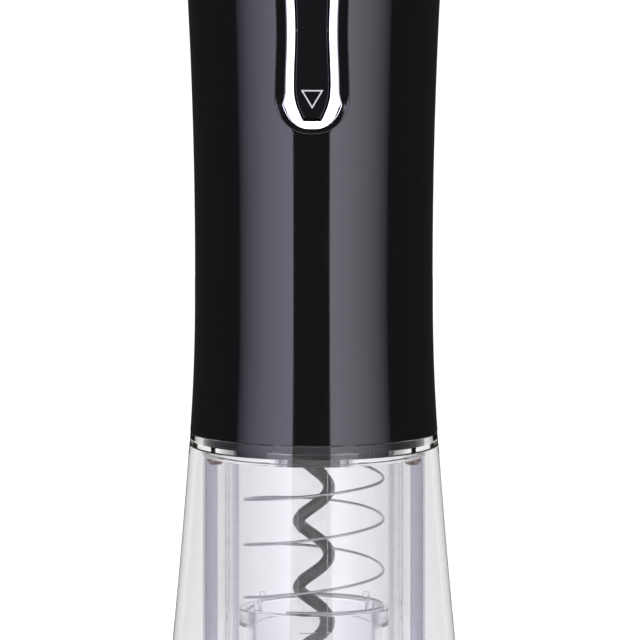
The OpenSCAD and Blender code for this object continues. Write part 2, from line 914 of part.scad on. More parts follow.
module battery_tray() {
    color([0.14, 0.14, 0.15])
        difference() {
            union() {
                translate([0, 0, tray_z])
                    linear_extrude(height = tray_top - tray_z)
                        for (a = [0, 90])
                            rotate(a)
                                square([2 * tray_half, 2 * cell_at], center = true);
                translate([0, 0, tray_z])
                    at_cells()
                        cylinder(r = pocket_r + 1.2, h = tray_top - tray_z);
                translate([0, 0, tray_top - 1.5])
                    cylinder(r = spigot_r - spigot_wall - fit, h = 1.5);
            }
            translate([0, 0, tray_z + tray_floor])
                at_cells()
                    cylinder(r = pocket_r, h = cell_len);
            for (s = cell_spots)
                translate([s[0] * cell_at - 1, s[1] * cell_at - 1, tray_z - 1])
                    cube([2, 2, tray_floor + 2]);
        }
}

module battery_cells() {
    color([0.20, 0.42, 0.35])
        at_cells()
            translate([0, 0, cell_z]) {
                cylinder(r = cell_r, h = cell_len - nub_h);
                cylinder(r = 2.6, h = cell_len);
            }
}

module lower_contacts() {
    color([0.80, 0.80, 0.82])
        at_cells()
            translate([0, 0, tray_z + tray_floor]) {
                translate([-3.5, -3.5, 0])
                    cube([7, 7, 0.4]);
                cylinder(r1 = 3, r2 = 2, h = 1.5);
                translate([-0.8, -0.8, -tray_floor - 1.2])
                    cube([1.6, 1.6, tray_floor + 1.5]);
            }
}

module battery_cap() {
    steps = 14;
    shares = [for (i = [0:steps]) sin(90 * i / steps)];
    socket_top = spigot_z + spigot_h + 1;
    inner_r = top_r - cap_wall;
    inner_h = cap_z + cap_h - cap_wall - socket_top;
    color([0.07, 0.07, 0.075]) {
        difference() {
            translate([0, 0, cap_z])
                rotate_extrude()
                    polygon(concat([[0, 0]], [for (t = shares) [cap_r(t, top_r, cap_h), t * cap_h]]));
            translate([0, 0, cap_z - 1])
                cylinder(r = spigot_r + 0.75, h = socket_top - cap_z + 1);
            translate([0, 0, socket_top])
                rotate_extrude()
                    polygon(concat([[0, -0.1], [spigot_r + 0.75, -0.1]],
                                   [for (t = shares) [(spigot_r + 0.75) * pow(1 - pow(t, 2.3), 1 / 2.3), t * inner_h]]));
        }
        translate([0, 0, cell_top + 3.5])
            cylinder(r = 4, h = cap_z + cap_h - cell_top - 5);
    }
}

module cap_contact_plate() {
    color([0.80, 0.80, 0.82])
        translate([0, 0, cell_top + 2.5])
            cylinder(r = spigot_r - spigot_wall - 2, h = 1);
}

module cap_contact_springs() {
    color([0.74, 0.74, 0.76])
        at_cells()
            translate([0, 0, cell_top + 0.4])
                cylinder(r1 = 1.8, r2 = 3, h = 2.1);
}

// ---------- button and electronics ----------

button_r = body_r(button_z);
pin_y = -(button_r - pin_sink);
rocker_back_y = pin_y + 1;
switch_y = rocker_back_y + 0.8;
board_y = switch_y + switch_h;

module button_bezel() {
    seat_w = rocker_half_w + recess_grow;
    color([0.86, 0.86, 0.88])
        difference() {
            union() {
                intersection() {
                    button_prism(recess_half_l - fit, seat_w - fit, recess_ends);
                    body_layer(bezel_depth, bezel_back, button_z - 25, button_z + 25);
                }
                difference() {
                    intersection() {
                        button_prism(recess_half_l - fit, seat_w - fit, recess_ends);
                        body_layer(0.1, bezel_back, button_z - 25, button_z + 25);
                    }
                    button_prism(recess_half_l - 0.9, seat_w - 0.8, recess_ends);
                }
                difference() {
                    intersection() {
                        button_prism(recess_half_l - fit, seat_w - fit, recess_ends);
                        body_layer(0.6, bezel_back, button_z - 25, button_z + 25);
                    }
                    button_prism(recess_half_l - 1.7, seat_w - bezel_slope, recess_ends);
                }
                intersection() {
                    button_prism(recess_half_l + 1.4, seat_w + 1.4, recess_ends);
                    body_layer(housing_wall + fit, bezel_back, button_z - 25, button_z + 25);
                }
            }
            button_prism(rocker_half_l + play, rocker_half_w + play, rocker_ends);
            translate([0, pin_y, button_z])
                rotate([0, 90, 0])
                    cylinder(r = rocker_pin_r, h = 2 * (seat_w - 0.6), center = true, $fn = 48);
        }
}

module rocker_pin() {
    color([0.80, 0.80, 0.82])
        translate([0, pin_y, button_z])
            rotate([0, 90, 0])
                cylinder(r = rocker_pin_r, h = 2 * (rocker_half_w + recess_grow - 0.6), center = true, $fn = 48);
}

module rocker_button() {
    color([0.05, 0.05, 0.055])
        difference() {
            intersection() {
                button_prism(rocker_half_l, rocker_half_w, rocker_ends);
                body_core(0.25, button_z - 25, button_z + 25);
                translate([-top_r, -2 * top_r, 0])
                    cube([2 * top_r, 2 * top_r + rocker_back_y, housing_top]);
            }
            translate([0, pin_y, button_z])
                rotate([0, 90, 0])
                    cylinder(r = rocker_pin_r + bearing_play, h = 30, center = true, $fn = 48);
        }
}

module rocker_feet() {
    color([0.22, 0.22, 0.23])
        for (u = [-foot_up, foot_up])
            along_y(foot_r, 0, button_z + u, rocker_back_y, rocker_back_y + foot_len);
}

module switch_bodies() {
    color([0.18, 0.18, 0.19])
        for (u = [-foot_up, foot_up])
            difference() {
                translate([-switch_w / 2, switch_y, button_z + u - switch_w / 2])
                    cube([switch_w, switch_h, switch_w]);
                along_y(foot_r + 0.7, 0, button_z + u, switch_y - 1, switch_y + well_depth);
            }
}

module circuit_board() {
    color([0.08, 0.30, 0.20])
        difference() {
            translate([-board_half_w, board_y, button_z - board_up])
                cube([2 * board_half_w, board_t, 2 * board_up]);
            for (x = [-board_screw_x, board_screw_x]) for (u = board_screw_spots)
                along_y(0.8 + fit, x, button_z + u, board_y - 1, board_y + board_t + 1);
        }
}

module board_parts() {
    color([0.13, 0.13, 0.14]) {
        translate([-9, board_y - 1.6, button_z - 3])
            cube([5, 1.6, 6]);
        translate([4.5, board_y - 2, button_z - 2])
            cube([4, 2, 4]);
    }
}

module board_screws() {
    color([0.70, 0.70, 0.73])
        for (x = [-board_screw_x, board_screw_x]) for (u = board_screw_spots)
            translate([x, board_y + board_t, button_z + u])
                rotate([90, 0, 0])
                    screw(0.75, board_t + 1.2, 1.4, 0.8);
}

module motor_leads() {
    top_z = bell_top + 3;
    color([0.60, 0.10, 0.09])
        for (x = [-1, 1])
            lead([x * 9, -1.5, top_z - 0.8], [0, -5, 0],
                 [x * 6, board_y + board_t, top_z + 0.5], [0, 3, 0]);
}

module battery_leads() {
    color([0.10, 0.10, 0.11])
        for (x = [-1, 1])
            lead([x * cell_at, -cell_at - 0.8, tray_z - 0.9], [0, -2, -1],
                 [x * 3, board_y + board_t, button_z - 3], [0, 2, 0]);
}

// ---------- build list ----------

clear_skirt();
guide_tube();
guide_screws();
chassis_plate();
output_bearing();
thrust_washer();
gear_case();
gear_case_lid();
gear_case_screws();
motor_can();
motor_magnets();
motor_bearings();
motor_end_bell();
motor_terminals();
motor_screws();
front_housing();
rear_housing();
housing_screws();
screw_plugs();
top_ring();
cap_seal();
battery_tray();
battery_cells();
lower_contacts();
button_bezel();
rocker_pin();
circuit_board();
board_parts();
switch_bodies();
board_screws();
motor_leads();
battery_leads();
drive_spindle();
worm_hub();
worm();
planet(3, 0);  // planet_3a
planet(3, 1);  // planet_3b
planet(3, 2);  // planet_3c
carrier_2();
planet(2, 0);  // planet_2a
planet(2, 1);  // planet_2b
planet(2, 2);  // planet_2c
carrier_1();
planet(1, 0);  // planet_1a
planet(1, 1);  // planet_1b
planet(1, 2);  // planet_1c
motor_shaft();
motor_rotor();
motor_pinion();
cork_collar();
collar_spring();
rocker_button();
rocker_feet();
battery_cap();
cap_contact_plate();
cap_contact_springs();
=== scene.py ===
"""Looks of the electric wine opener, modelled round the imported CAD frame.

Everything is in metres, in the frame's own axes: +Z up, the button towards -Y, the resting rim at Z = 0.
"""

import json
import logging
import math
from collections.abc import Callable, Sequence
from dataclasses import dataclass, field
from enum import Enum

import bmesh
import bpy
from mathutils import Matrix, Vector


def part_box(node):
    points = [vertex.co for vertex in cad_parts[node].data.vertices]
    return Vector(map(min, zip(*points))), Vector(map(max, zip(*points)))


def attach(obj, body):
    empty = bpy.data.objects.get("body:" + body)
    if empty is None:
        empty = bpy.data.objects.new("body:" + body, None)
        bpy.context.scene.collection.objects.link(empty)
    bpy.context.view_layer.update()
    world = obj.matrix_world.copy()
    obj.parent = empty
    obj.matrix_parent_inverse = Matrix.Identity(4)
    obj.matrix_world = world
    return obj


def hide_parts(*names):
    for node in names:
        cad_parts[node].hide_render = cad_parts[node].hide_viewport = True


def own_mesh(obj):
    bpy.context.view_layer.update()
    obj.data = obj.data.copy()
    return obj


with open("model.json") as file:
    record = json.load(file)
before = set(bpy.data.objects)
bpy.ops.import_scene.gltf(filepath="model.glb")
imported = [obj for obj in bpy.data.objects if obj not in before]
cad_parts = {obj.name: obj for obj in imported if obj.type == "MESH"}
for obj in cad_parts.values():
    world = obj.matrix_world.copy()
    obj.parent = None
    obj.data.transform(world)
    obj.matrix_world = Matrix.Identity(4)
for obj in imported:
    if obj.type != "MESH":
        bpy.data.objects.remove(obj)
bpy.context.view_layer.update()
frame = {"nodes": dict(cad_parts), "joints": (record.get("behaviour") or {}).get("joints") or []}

LOG = logging.getLogger("opener")
MM = 0.001
Point2 = tuple[float, float]
Corner = tuple[float, float, float]
Colour = tuple[float, float, float]


# ---------------------------------------------------------------- mesh tools


class Apply(Enum):
    """Modifiers that finish a piece."""

    SOLIDIFY = "SOLIDIFY"
    BEVEL = "BEVEL"
    BOOLEAN = "BOOLEAN"
    WEIGHTED = "WEIGHTED_NORMAL"


def deselect() -> None:
    """Leaves object mode clear, with nothing selected."""
    if bpy.context.object and bpy.context.object.mode != "OBJECT":
        bpy.ops.object.mode_set(mode="OBJECT")
    bpy.ops.object.select_all(action="DESELECT")


def edit(obj: bpy.types.Object, everything: bool = True) -> None:
    """Opens a piece in edit mode.

    Args:
        obj: the piece.
        everything: selects the whole mesh if true, and nothing if false.
    """
    deselect()
    obj.select_set(True)
    bpy.context.view_layer.objects.active = obj
    bpy.ops.object.mode_set(mode="EDIT")
    bpy.ops.mesh.select_all(action="SELECT" if everything else "DESELECT")


def close(obj: bpy.types.Object) -> bpy.types.Object:
    """Leaves edit mode and returns the piece."""
    bpy.ops.object.mode_set(mode="OBJECT")
    return obj


def pick(obj: bpy.types.Object, mode: str, wanted: Callable) -> None:
    """Selects the elements of an open mesh that a test accepts.

    Args:
        obj: a piece in edit mode.
        mode: VERT, EDGE or FACE.
        wanted: a test of one element.
    """
    bpy.ops.mesh.select_mode(type=mode)
    bpy.ops.mesh.select_all(action="DESELECT")
    mesh = bmesh.from_edit_mesh(obj.data)
    for element in {"VERT": mesh.verts, "EDGE": mesh.edges, "FACE": mesh.faces}[mode]:
        if wanted(element):
            element.select_set(True)
    bmesh.update_edit_mesh(obj.data)


def loop(name: str, points: Sequence[Vector]) -> bpy.types.Object:
    """A closed line of edges, from a circle whose vertices are moved into place.

    Args:
        name: the piece's name.
        points: the places of its vertices, in order.

    Returns:
        The new object, in object mode.
    """
    deselect()
    bpy.ops.mesh.primitive_circle_add(vertices=len(points), radius=MM)
    obj = bpy.context.active_object
    obj.name = name
    for vertex, point in zip(obj.data.vertices, points):
        vertex.co = point
    return obj


def modify(obj: bpy.types.Object, kind: Apply, **settings: object) -> bpy.types.Object:
    """Adds a modifier and applies it.

    Args:
        obj: the piece.
        kind: which modifier.
        settings: the modifier's own settings.

    Returns:
        The same piece.
    """
    deselect()
    obj.select_set(True)
    bpy.context.view_layer.objects.active = obj
    modifier = obj.modifiers.new(kind.name.lower(), kind.value)
    for key, value in settings.items():
        setattr(modifier, key, value)
    bpy.ops.object.modifier_apply(modifier=modifier.name)
    return obj


def combine(obj: bpy.types.Object, tool: bpy.types.Object, operation: str) -> bpy.types.Object:
    """Cuts a piece with another, or unites the two, and removes the other.

    Args:
        obj: the piece that stays.
        tool: the piece that is used up.
        operation: DIFFERENCE, UNION or INTERSECT.

    Returns:
        The piece that stays.
    """
    modify(obj, Apply.BOOLEAN, object=tool, operation=operation, solver="EXACT")
    bpy.data.objects.remove(tool)
    return obj


def smooth(obj: bpy.types.Object, angle: float = 35.0, weighted: bool = True) -> bpy.types.Object:
    """Shades a piece smooth up to an angle in degrees, with flats kept flat.

    Args:
        obj: the piece.
        angle: edges sharper than this stay crisp.
        weighted: lets large faces set the normals.

    Returns:
        The same piece.
    """
    deselect()
    obj.select_set(True)
    bpy.context.view_layer.objects.active = obj
    bpy.ops.object.shade_smooth_by_angle(angle=math.radians(angle))
    if weighted:
        modify(obj, Apply.WEIGHTED, keep_sharp=True, weight=50)
    return obj


def tidy(obj: bpy.types.Object) -> bpy.types.Object:
    """Merges doubled vertices and turns all faces outwards."""
    edit(obj)
    bpy.ops.mesh.remove_doubles(threshold=1e-7)
    bpy.ops.mesh.normals_make_consistent(inside=False)
    return close(obj)


def rounded(corners: Sequence[Corner], segments: int = 5) -> list[Point2]:
    """A section's outline with its corners rounded.

    Args:
        corners: radius, height and fillet of each corner; a fillet of 0 keeps the point.
        segments: steps in each fillet.

    Returns:
        The outline's points as radius and height.
    """
    points: list[Point2] = []
    for index, (r, z, fillet) in enumerate(corners):
        if fillet <= 0:
            points.append((r, z))
            continue
        here = Vector((r, z))
        before = Vector(corners[index - 1][:2]) - here
        after = Vector(corners[(index + 1) % len(corners)][:2]) - here
        start = here + before.normalized() * min(fillet, before.length * 0.49)
        end = here + after.normalized() * min(fillet, after.length * 0.49)
        for step in range(segments + 1):
            t = step / segments
            place = (1 - t) ** 2 * start + 2 * t * (1 - t) * here + t * t * end
            points.append((place.x, place.y))
    return points


def lathe(name: str, section: Sequence[Point2], steps: int = 128, sweep: float = 360.0,
          closed: bool = True, at: Point2 = (0.0, 0.0)) -> bpy.types.Object:
    """Turns a section about a vertical axis.

    Args:
        name: the piece's name.
        section: radius and height of each point.
        steps: steps round the sweep.
        sweep: degrees, clockwise from +X seen from above.
        closed: the section is a loop; otherwise it is an open line.
        at: the axis's place in X and Y.

    Returns:
        The turned piece, in object mode.
    """
    obj = loop(name, [Vector((r + at[0], at[1], z)) for r, z in section])
    edit(obj)
    on_axis = 1e-9
    ends = {0, len(section) - 1}

    def unwanted(edge: bmesh.types.BMEdge) -> bool:
        """True for an edge along the axis, and for the one that would close an open line."""
        radii = [v.co.x - at[0] for v in edge.verts]
        return max(radii) < on_axis or (not closed and {v.index for v in edge.verts} == ends)

    bmesh.from_edit_mesh(obj.data).verts.index_update()
    pick(obj, "EDGE", unwanted)
    bpy.ops.mesh.delete(type="EDGE")
    bpy.ops.mesh.select_all(action="SELECT")
    bpy.ops.mesh.spin(steps=steps, angle=math.radians(sweep), center=(at[0], at[1], 0), axis=(0, 0, 1))
    close(obj)
    return tidy(obj)


def rod(name: str, radius: float, start: Vector, end: Vector, sides: int = 64) -> bpy.types.Object:
    """A cylinder between two points, with its place in its mesh.

    Args:
        name: the piece's name.
        radius: its radius.
        start: the middle of one end.
        end: the middle of the other end.
        sides: sides of its circle.

    Returns:
        The new piece.
    """
    deselect()
    bpy.ops.mesh.primitive_cylinder_add(vertices=sides, radius=radius, depth=(end - start).length)
    obj = bpy.context.active_object
    obj.name = name
    turn = (end - start).to_track_quat("Z", "Y").to_matrix().to_4x4()
    turn.translation = (start + end) / 2
    obj.data.transform(turn)
    return obj


def block(name: str, low: Vector, high: Vector) -> bpy.types.Object:
    """A box between two corners, with its place in its mesh."""
    deselect()
    bpy.ops.mesh.primitive_cube_add(size=1)
    obj = bpy.context.active_object
    obj.name = name
    for vertex in obj.data.vertices:
        vertex.co = [low[i] + (vertex.co[i] + 0.5) * (high[i] - low[i]) for i in range(3)]
    return obj


def wire(name: str, points: Sequence[Vector], radii: Sequence[float], sides: int = 16) -> bpy.types.Object:
    """A round wire along a path, closed at both ends.

    Args:
        name: the piece's name.
        points: the wire's centreline.
        radii: its radius at each point.
        sides: about how many sides its section has.

    Returns:
        The wire as a mesh.
    """
    deselect()
    bpy.ops.curve.primitive_nurbs_path_add()
    obj = bpy.context.active_object
    obj.name = name
    curve = obj.data
    curve.splines.clear()
    spline = curve.splines.new("POLY")
    spline.points.add(len(points) - 1)
    for place, point, radius in zip(spline.points, points, radii):
        place.co = (*point, 1.0)
        place.radius = radius / max(radii)
    curve.dimensions = "3D"
    curve.bevel_depth = max(radii)
    curve.bevel_resolution = max(1, sides // 4 - 1)
    curve.use_fill_caps = True
    bpy.ops.object.convert(target="MESH")
    return tidy(bpy.context.active_object)


def join(pieces: Sequence[bpy.types.Object], name: str) -> bpy.types.Object:
    """Joins pieces into one object and returns it."""
    deselect()
    for piece in pieces:
        piece.select_set(True)
    bpy.context.view_layer.objects.active = pieces[0]
    bpy.ops.object.join()
    pieces[0].name = name
    return pieces[0]


# ------------------------------------------------------------- shader tools


class Value:
    """A shader socket that takes part in Python expressions."""

    def __init__(self, graph: "Graph", socket: bpy.types.NodeSocket) -> None:
        """Wraps a socket of a graph."""
        self.graph = graph
        self.socket = socket

    def _math(self, operation: str, *values: "Value | float") -> "Value":
        """A Math node on values, the result as a new value."""
        return self.graph.node("ShaderNodeMath", {"operation": operation}, *values)

    def __add__(self, other: "Value | float") -> "Value":
        """Self plus other."""
        return self._math("ADD", self, other)

    __radd__ = __add__

    def __mul__(self, other: "Value | float") -> "Value":
        """Self times other."""
        return self._math("MULTIPLY", self, other)

    __rmul__ = __mul__

    def __sub__(self, other: "Value | float") -> "Value":
        """Self minus other."""
        return self._math("SUBTRACT", self, other)

    def __rsub__(self, other: "Value | float") -> "Value":
        """Other minus self."""
        return self._math("SUBTRACT", other, self)

    def __pow__(self, power: float) -> "Value":
        """Self to a power."""
        return self._math("POWER", self, power)

    def above(self, edge: float, soft: float) -> "Value":
        """0 under an edge and 1 over it, with a soft step between."""
        return self.graph.node(
            "ShaderNodeMapRange", {"interpolation_type": "SMOOTHSTEP"}, self, edge - soft, edge + soft, 0.0, 1.0
        )

    def fraction(self) -> "Value":
        """The part after the decimal point."""
        return self._math("FRACT", self)

    def size(self) -> "Value":
        """The value without its sign."""
        return self._math("ABSOLUTE", self)


class Graph:
    """One material's nodes."""

    def __init__(self, name: str) -> None:
        """Starts a material with only a Principled shader and its output."""
        self.material = bpy.data.materials.new(name)
        self.material.use_nodes = True
        self.tree = self.material.node_tree
        self.shader = self.tree.nodes["Principled BSDF"]
        self.place = self.tree.nodes.new("ShaderNodeTexCoord").outputs["Object"]

    def node(self, kind: str, settings: dict[str, object], *values: object, output: int = 0,
             **named: object) -> Value:
        """Adds a node.

        Args:
            kind: the node's type.
            settings: its settings, such as a Math node's operation, which are set first.
            values: values or links of its inputs, in order.
            output: which output is used.
            named: values or links of inputs by name, with spaces as underscores.

        Returns:
            The chosen output.
        """
        made = self.tree.nodes.new(kind)
        for key, value in settings.items():
            setattr(made, key, value)
        inputs = [(made.inputs[i], value) for i, value in enumerate(values)]
        inputs += [(made.inputs[key.replace("_", " ")], value) for key, value in named.items()]
        for socket, value in inputs:
            self.feed(socket, value)
        return Value(self, made.outputs[output])

    def feed(self, socket: bpy.types.NodeSocket, value: object) -> None:
        """Links a value to a socket, or sets the socket's own number or colour."""
        if isinstance(value, Value):
            self.tree.links.new(value.socket, socket)
        elif isinstance(value, bpy.types.NodeSocket):
            self.tree.links.new(value, socket)
        elif value is not None:
            wide = hasattr(value, "__len__") and len(value) == 3 and socket.type == "RGBA"
            socket.default_value = (*value, 1.0) if wide else value

    def noise(self, size: float, detail: float = 2.0, stretch: Colour = (1.0, 1.0, 1.0)) -> Value:
        """Noise from 0 to 1 with features of a size, stretched along the axes."""
        place = self.node("ShaderNodeMapping", {}, self.place, Scale=stretch)
        return self.node("ShaderNodeTexNoise", {}, Vector=place, Scale=1 / size, Detail=detail)

    def axis(self, name: str) -> Value:
        """One object coordinate in metres: X, Y or Z."""
        return self.node("ShaderNodeSeparateXYZ", {}, self.place, output="XYZ".index(name))

    def mix(self, share: "Value | float", low: "Value | Colour", high: "Value | Colour") -> Value:
        """A mix of two colours."""
        mixed = self.node("ShaderNodeMix", {"data_type": "RGBA"}, share, output=2)
        node = mixed.socket.node
        self.feed(node.inputs[6], low)
        self.feed(node.inputs[7], high)
        return mixed

    def bump(self, height: Value, distance: float, strength: float = 1.0) -> Value:
        """A normal from a height, over a distance in metres."""
        return self.node("ShaderNodeBump", {}, Strength=strength, Distance=distance, Height=height)

    def shade(self, **sockets: object) -> bpy.types.Material:
        """Sets the shader's sockets and returns the material."""
        for key, value in sockets.items():
            self.feed(self.shader.inputs[key.replace("_", " ")], value)
        return self.material


# ------------------------------------------------------------------ finishes


@dataclass(frozen=True)
class PianoBlack:
    """Polished black moulding with faint handling haze."""

    colour: Colour = (0.0025, 0.0025, 0.0028)
    roughness: float = 0.045

    def build(self, name: str) -> bpy.types.Material:
        """The material."""
        graph = Graph(name)
        haze = graph.noise(26 * MM, 3.0)
        dust = graph.noise(0.55 * MM, 1.0).above(0.74, 0.03)
        return graph.shade(
            Base_Color=graph.mix(dust * 0.35, self.colour, (0.012, 0.012, 0.013)),
            Roughness=self.roughness + 0.03 * haze.above(0.5, 0.18) + 0.05 * dust,
            Normal=graph.bump(graph.noise(9 * MM, 1.0), 0.004 * MM),
            IOR=1.5,
        )


@dataclass(frozen=True)
class ClearPlastic:
    """Clear injection-moulded plastic."""

    colour: Colour = (0.966, 0.9635, 0.974)
    roughness: float = 0.0
    ior: float = 1.46
    shaded: float | None = None

    def build(self, name: str) -> bpy.types.Material:
        """The material, with painted grey shade beyond a distance from the middle plane if there is one."""
        graph = Graph(name)
        tint = graph.mix(graph.noise(30 * MM, 1.0), self.colour, tuple(0.985 * c for c in self.colour))
        if self.shaded is not None:
            # Painted shade: the grey colour beyond that distance stands in for the dark edge that clear plastic
            # shows when it refracts dark surroundings.
            tint = graph.mix(graph.axis("X").size().above(self.shaded, 0.1 * MM), tint, (0.70, 0.695, 0.755))
        return graph.shade(
            Base_Color=tint,
            Roughness=self.roughness,
            IOR=self.ior,
            Transmission_Weight=1.0,
        )


@dataclass(frozen=True)
class Chrome:
    """Bright plated surface with slight waviness."""

    colour: Colour = (0.90, 0.905, 0.915)

    def build(self, name: str) -> bpy.types.Material:
        """The material."""
        graph = Graph(name)
        smudge = graph.noise(5 * MM, 3.0)
        return graph.shade(
            Base_Color=graph.mix(smudge, self.colour, tuple(0.94 * c for c in self.colour)),
            Metallic=1.0,
            Roughness=0.03 + 0.03 * smudge,
            Normal=graph.bump(graph.noise(4 * MM, 1.0), 0.004 * MM),
        )


@dataclass(frozen=True)
class Moulded:
    """Satin or matte moulded plastic with a fine mould texture."""

    colour: Colour
    roughness: float = 0.45
    grain: float = 0.35 * MM
    depth: float = 0.015 * MM
    specular: float = 0.5

    def build(self, name: str) -> bpy.types.Material:
        """The material."""
        graph = Graph(name)
        grain = graph.noise(self.grain, 2.0)
        flow = graph.noise(18 * MM, 2.0)
        darker = tuple(0.82 * c for c in self.colour)
        return graph.shade(
            Base_Color=graph.mix(flow, self.colour, darker),
            Roughness=self.roughness + 0.08 * (grain - 0.5) + 0.08 * (flow - 0.5),
            Normal=graph.bump(grain, self.depth),
            Specular_IOR_Level=self.specular,
        )


@dataclass(frozen=True)
class Metal:
    """Bare or plated metal with drawn or turned marks."""

    colour: Colour
    roughness: float = 0.3
    grain: float = 0.25 * MM
    stretch: Colour = (1.0, 1.0, 6.0)
    metallic: float = 1.0

    def build(self, name: str) -> bpy.types.Material:
        """The material."""
        graph = Graph(name)
        marks = graph.noise(self.grain, 2.0, self.stretch)
        stain = graph.noise(6 * MM, 3.0)
        darker = tuple(0.72 * c for c in self.colour)
        return graph.shade(
            Base_Color=graph.mix(0.6 * stain + 0.3 * marks, self.colour, darker),
            Metallic=self.metallic,
            Roughness=self.roughness + 0.16 * (marks - 0.5) + 0.12 * (stain - 0.5),
            Normal=graph.bump(marks, 0.004 * MM),
        )


@dataclass(frozen=True)
class NonStick:
    """Dark non-stick coating over steel: fine orange peel and specks."""

    colour: Colour = (0.040, 0.038, 0.048)
    roughness: float = 0.26

    def build(self, name: str) -> bpy.types.Material:
        """The material."""
        graph = Graph(name)
        peel = graph.noise(0.30 * MM, 2.0)
        speck = graph.noise(0.16 * MM, 1.0).above(0.70, 0.03)
        return graph.shade(
            Base_Color=graph.mix(speck * 0.5, self.colour, (0.16, 0.16, 0.18)),
            Metallic=0.25,
            Roughness=self.roughness + 0.10 * (peel - 0.5),
            Normal=graph.bump(peel, 0.012 * MM),
            Coat_Roughness=0.15,
            Coat_Weight=0.3 + 0.1 * peel,
        )


@dataclass(frozen=True)
class Rubber:
    """Soft dull rubber."""

    colour: Colour = (0.018, 0.018, 0.019)

    def build(self, name: str) -> bpy.types.Material:
        """The material."""
        graph = Graph(name)
        grain = graph.noise(0.2 * MM, 3.0)
        bloom = graph.noise(7 * MM, 2.0)
        return graph.shade(
            Base_Color=graph.mix(bloom * 0.5, self.colour, (0.05, 0.05, 0.052)),
            Roughness=0.72 + 0.12 * (grain - 0.5),
            Normal=graph.bump(grain, 0.02 * MM),
        )


@dataclass(frozen=True)
class CellJacket:
    """A printed cell jacket between bare steel ends."""

    bottom: float
    top: float
    jacket: Colour = (0.012, 0.10, 0.075)
    band: Colour = (0.72, 0.45, 0.12)

    def build(self, name: str) -> bpy.types.Material:
        """The material."""
        graph = Graph(name)
        height = graph.axis("Z")
        end = 1 - height.above(self.bottom + 0.8 * MM, 0.05 * MM) + height.above(self.top - 2.2 * MM, 0.05 * MM)
        stripe = height.above(self.top - 14 * MM, 0.05 * MM)
        scuff = graph.noise(0.5 * MM, 2.0, (1.0, 1.0, 0.3))
        printed = graph.mix(stripe, self.jacket, self.band)
        return graph.shade(
            Base_Color=graph.mix(end, printed, (0.62, 0.62, 0.64)),
            Metallic=end,
            Roughness=0.28 + 0.1 * scuff,
            Normal=graph.bump(scuff, 0.006 * MM),
        )


@dataclass(frozen=True)
class SolderMask:
    """Green circuit board with copper tracks under its mask."""

    colour: Colour = (0.010, 0.085, 0.040)
    track: Colour = (0.030, 0.190, 0.075)
    pitch: float = 2.5 * MM

    def build(self, name: str) -> bpy.types.Material:
        """The material."""
        graph = Graph(name)
        across = (graph.axis("X") * (1 / self.pitch)).fraction()
        up = (graph.axis("Z") * (1 / self.pitch)).fraction()
        choice = graph.noise(7 * MM, 0.0).above(0.5, 0.01)
        tracks = (1 - choice) * across.above(0.62, 0.03) + choice * up.above(0.62, 0.03)
        return graph.shade(
            Base_Color=graph.mix(tracks, self.colour, self.track),
            Roughness=0.24 + 0.06 * graph.noise(1 * MM),
            Normal=graph.bump(tracks, 0.03 * MM),
        )


@dataclass(frozen=True)
class Windings:
    """Copper windings and steel laminations of a small rotor."""

    low: float
    high: float
    copper: Colour = (0.55, 0.20, 0.07)
    steel: Colour = (0.30, 0.30, 0.31)

    def build(self, name: str) -> bpy.types.Material:
        """The material."""
        graph = Graph(name)
        height = graph.axis("Z")
        middle = height.above(self.low, 0.1 * MM) * (1 - height.above(self.high, 0.1 * MM))
        sheets = (height * (1 / (0.5 * MM))).fraction()
        return graph.shade(
            Base_Color=graph.mix(middle, self.copper, self.steel),
            Metallic=1.0,
            Roughness=0.35 + 0.1 * graph.noise(0.5 * MM),
            Normal=graph.bump((sheets - 0.5).size(), 0.05 * MM),
        )


@dataclass(frozen=True)
class PrintInk:
    """Pad-printed ink, slightly rough over the gloss under it."""

    colour: Colour = (0.36, 0.36, 0.37)

    def build(self, name: str) -> bpy.types.Material:
        """The material."""
        graph = Graph(name)
        cover = graph.noise(0.25 * MM, 2.0)
        return graph.shade(
            Base_Color=graph.mix(cover, self.colour, tuple(0.9 * c for c in self.colour)),
            Roughness=0.35 + 0.1 * cover,
        )


def dress(obj: bpy.types.Object, material: bpy.types.Material) -> None:
    """Gives a piece one material in all its slots."""
    obj.data.materials.clear()
    obj.data.materials.append(material)


def install(obj: bpy.types.Object, body: str, slot: str, material: bpy.types.Material, *nodes: str) -> None:
    """Puts a finished piece on its body, in place of the CAD nodes that it stands for.

    Args:
        obj: the piece.
        body: the CAD body that it moves with.
        slot: the record's material slot; not used.
        material: its finish.
        nodes: CAD nodes that it replaces.
    """
    dress(obj, material)
    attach(obj, body)
    if nodes:
        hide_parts(*nodes)
    LOG.info("%s: %d faces on %s", obj.name, len(obj.data.polygons), body)


# ------------------------------------------------------------ outline shapes


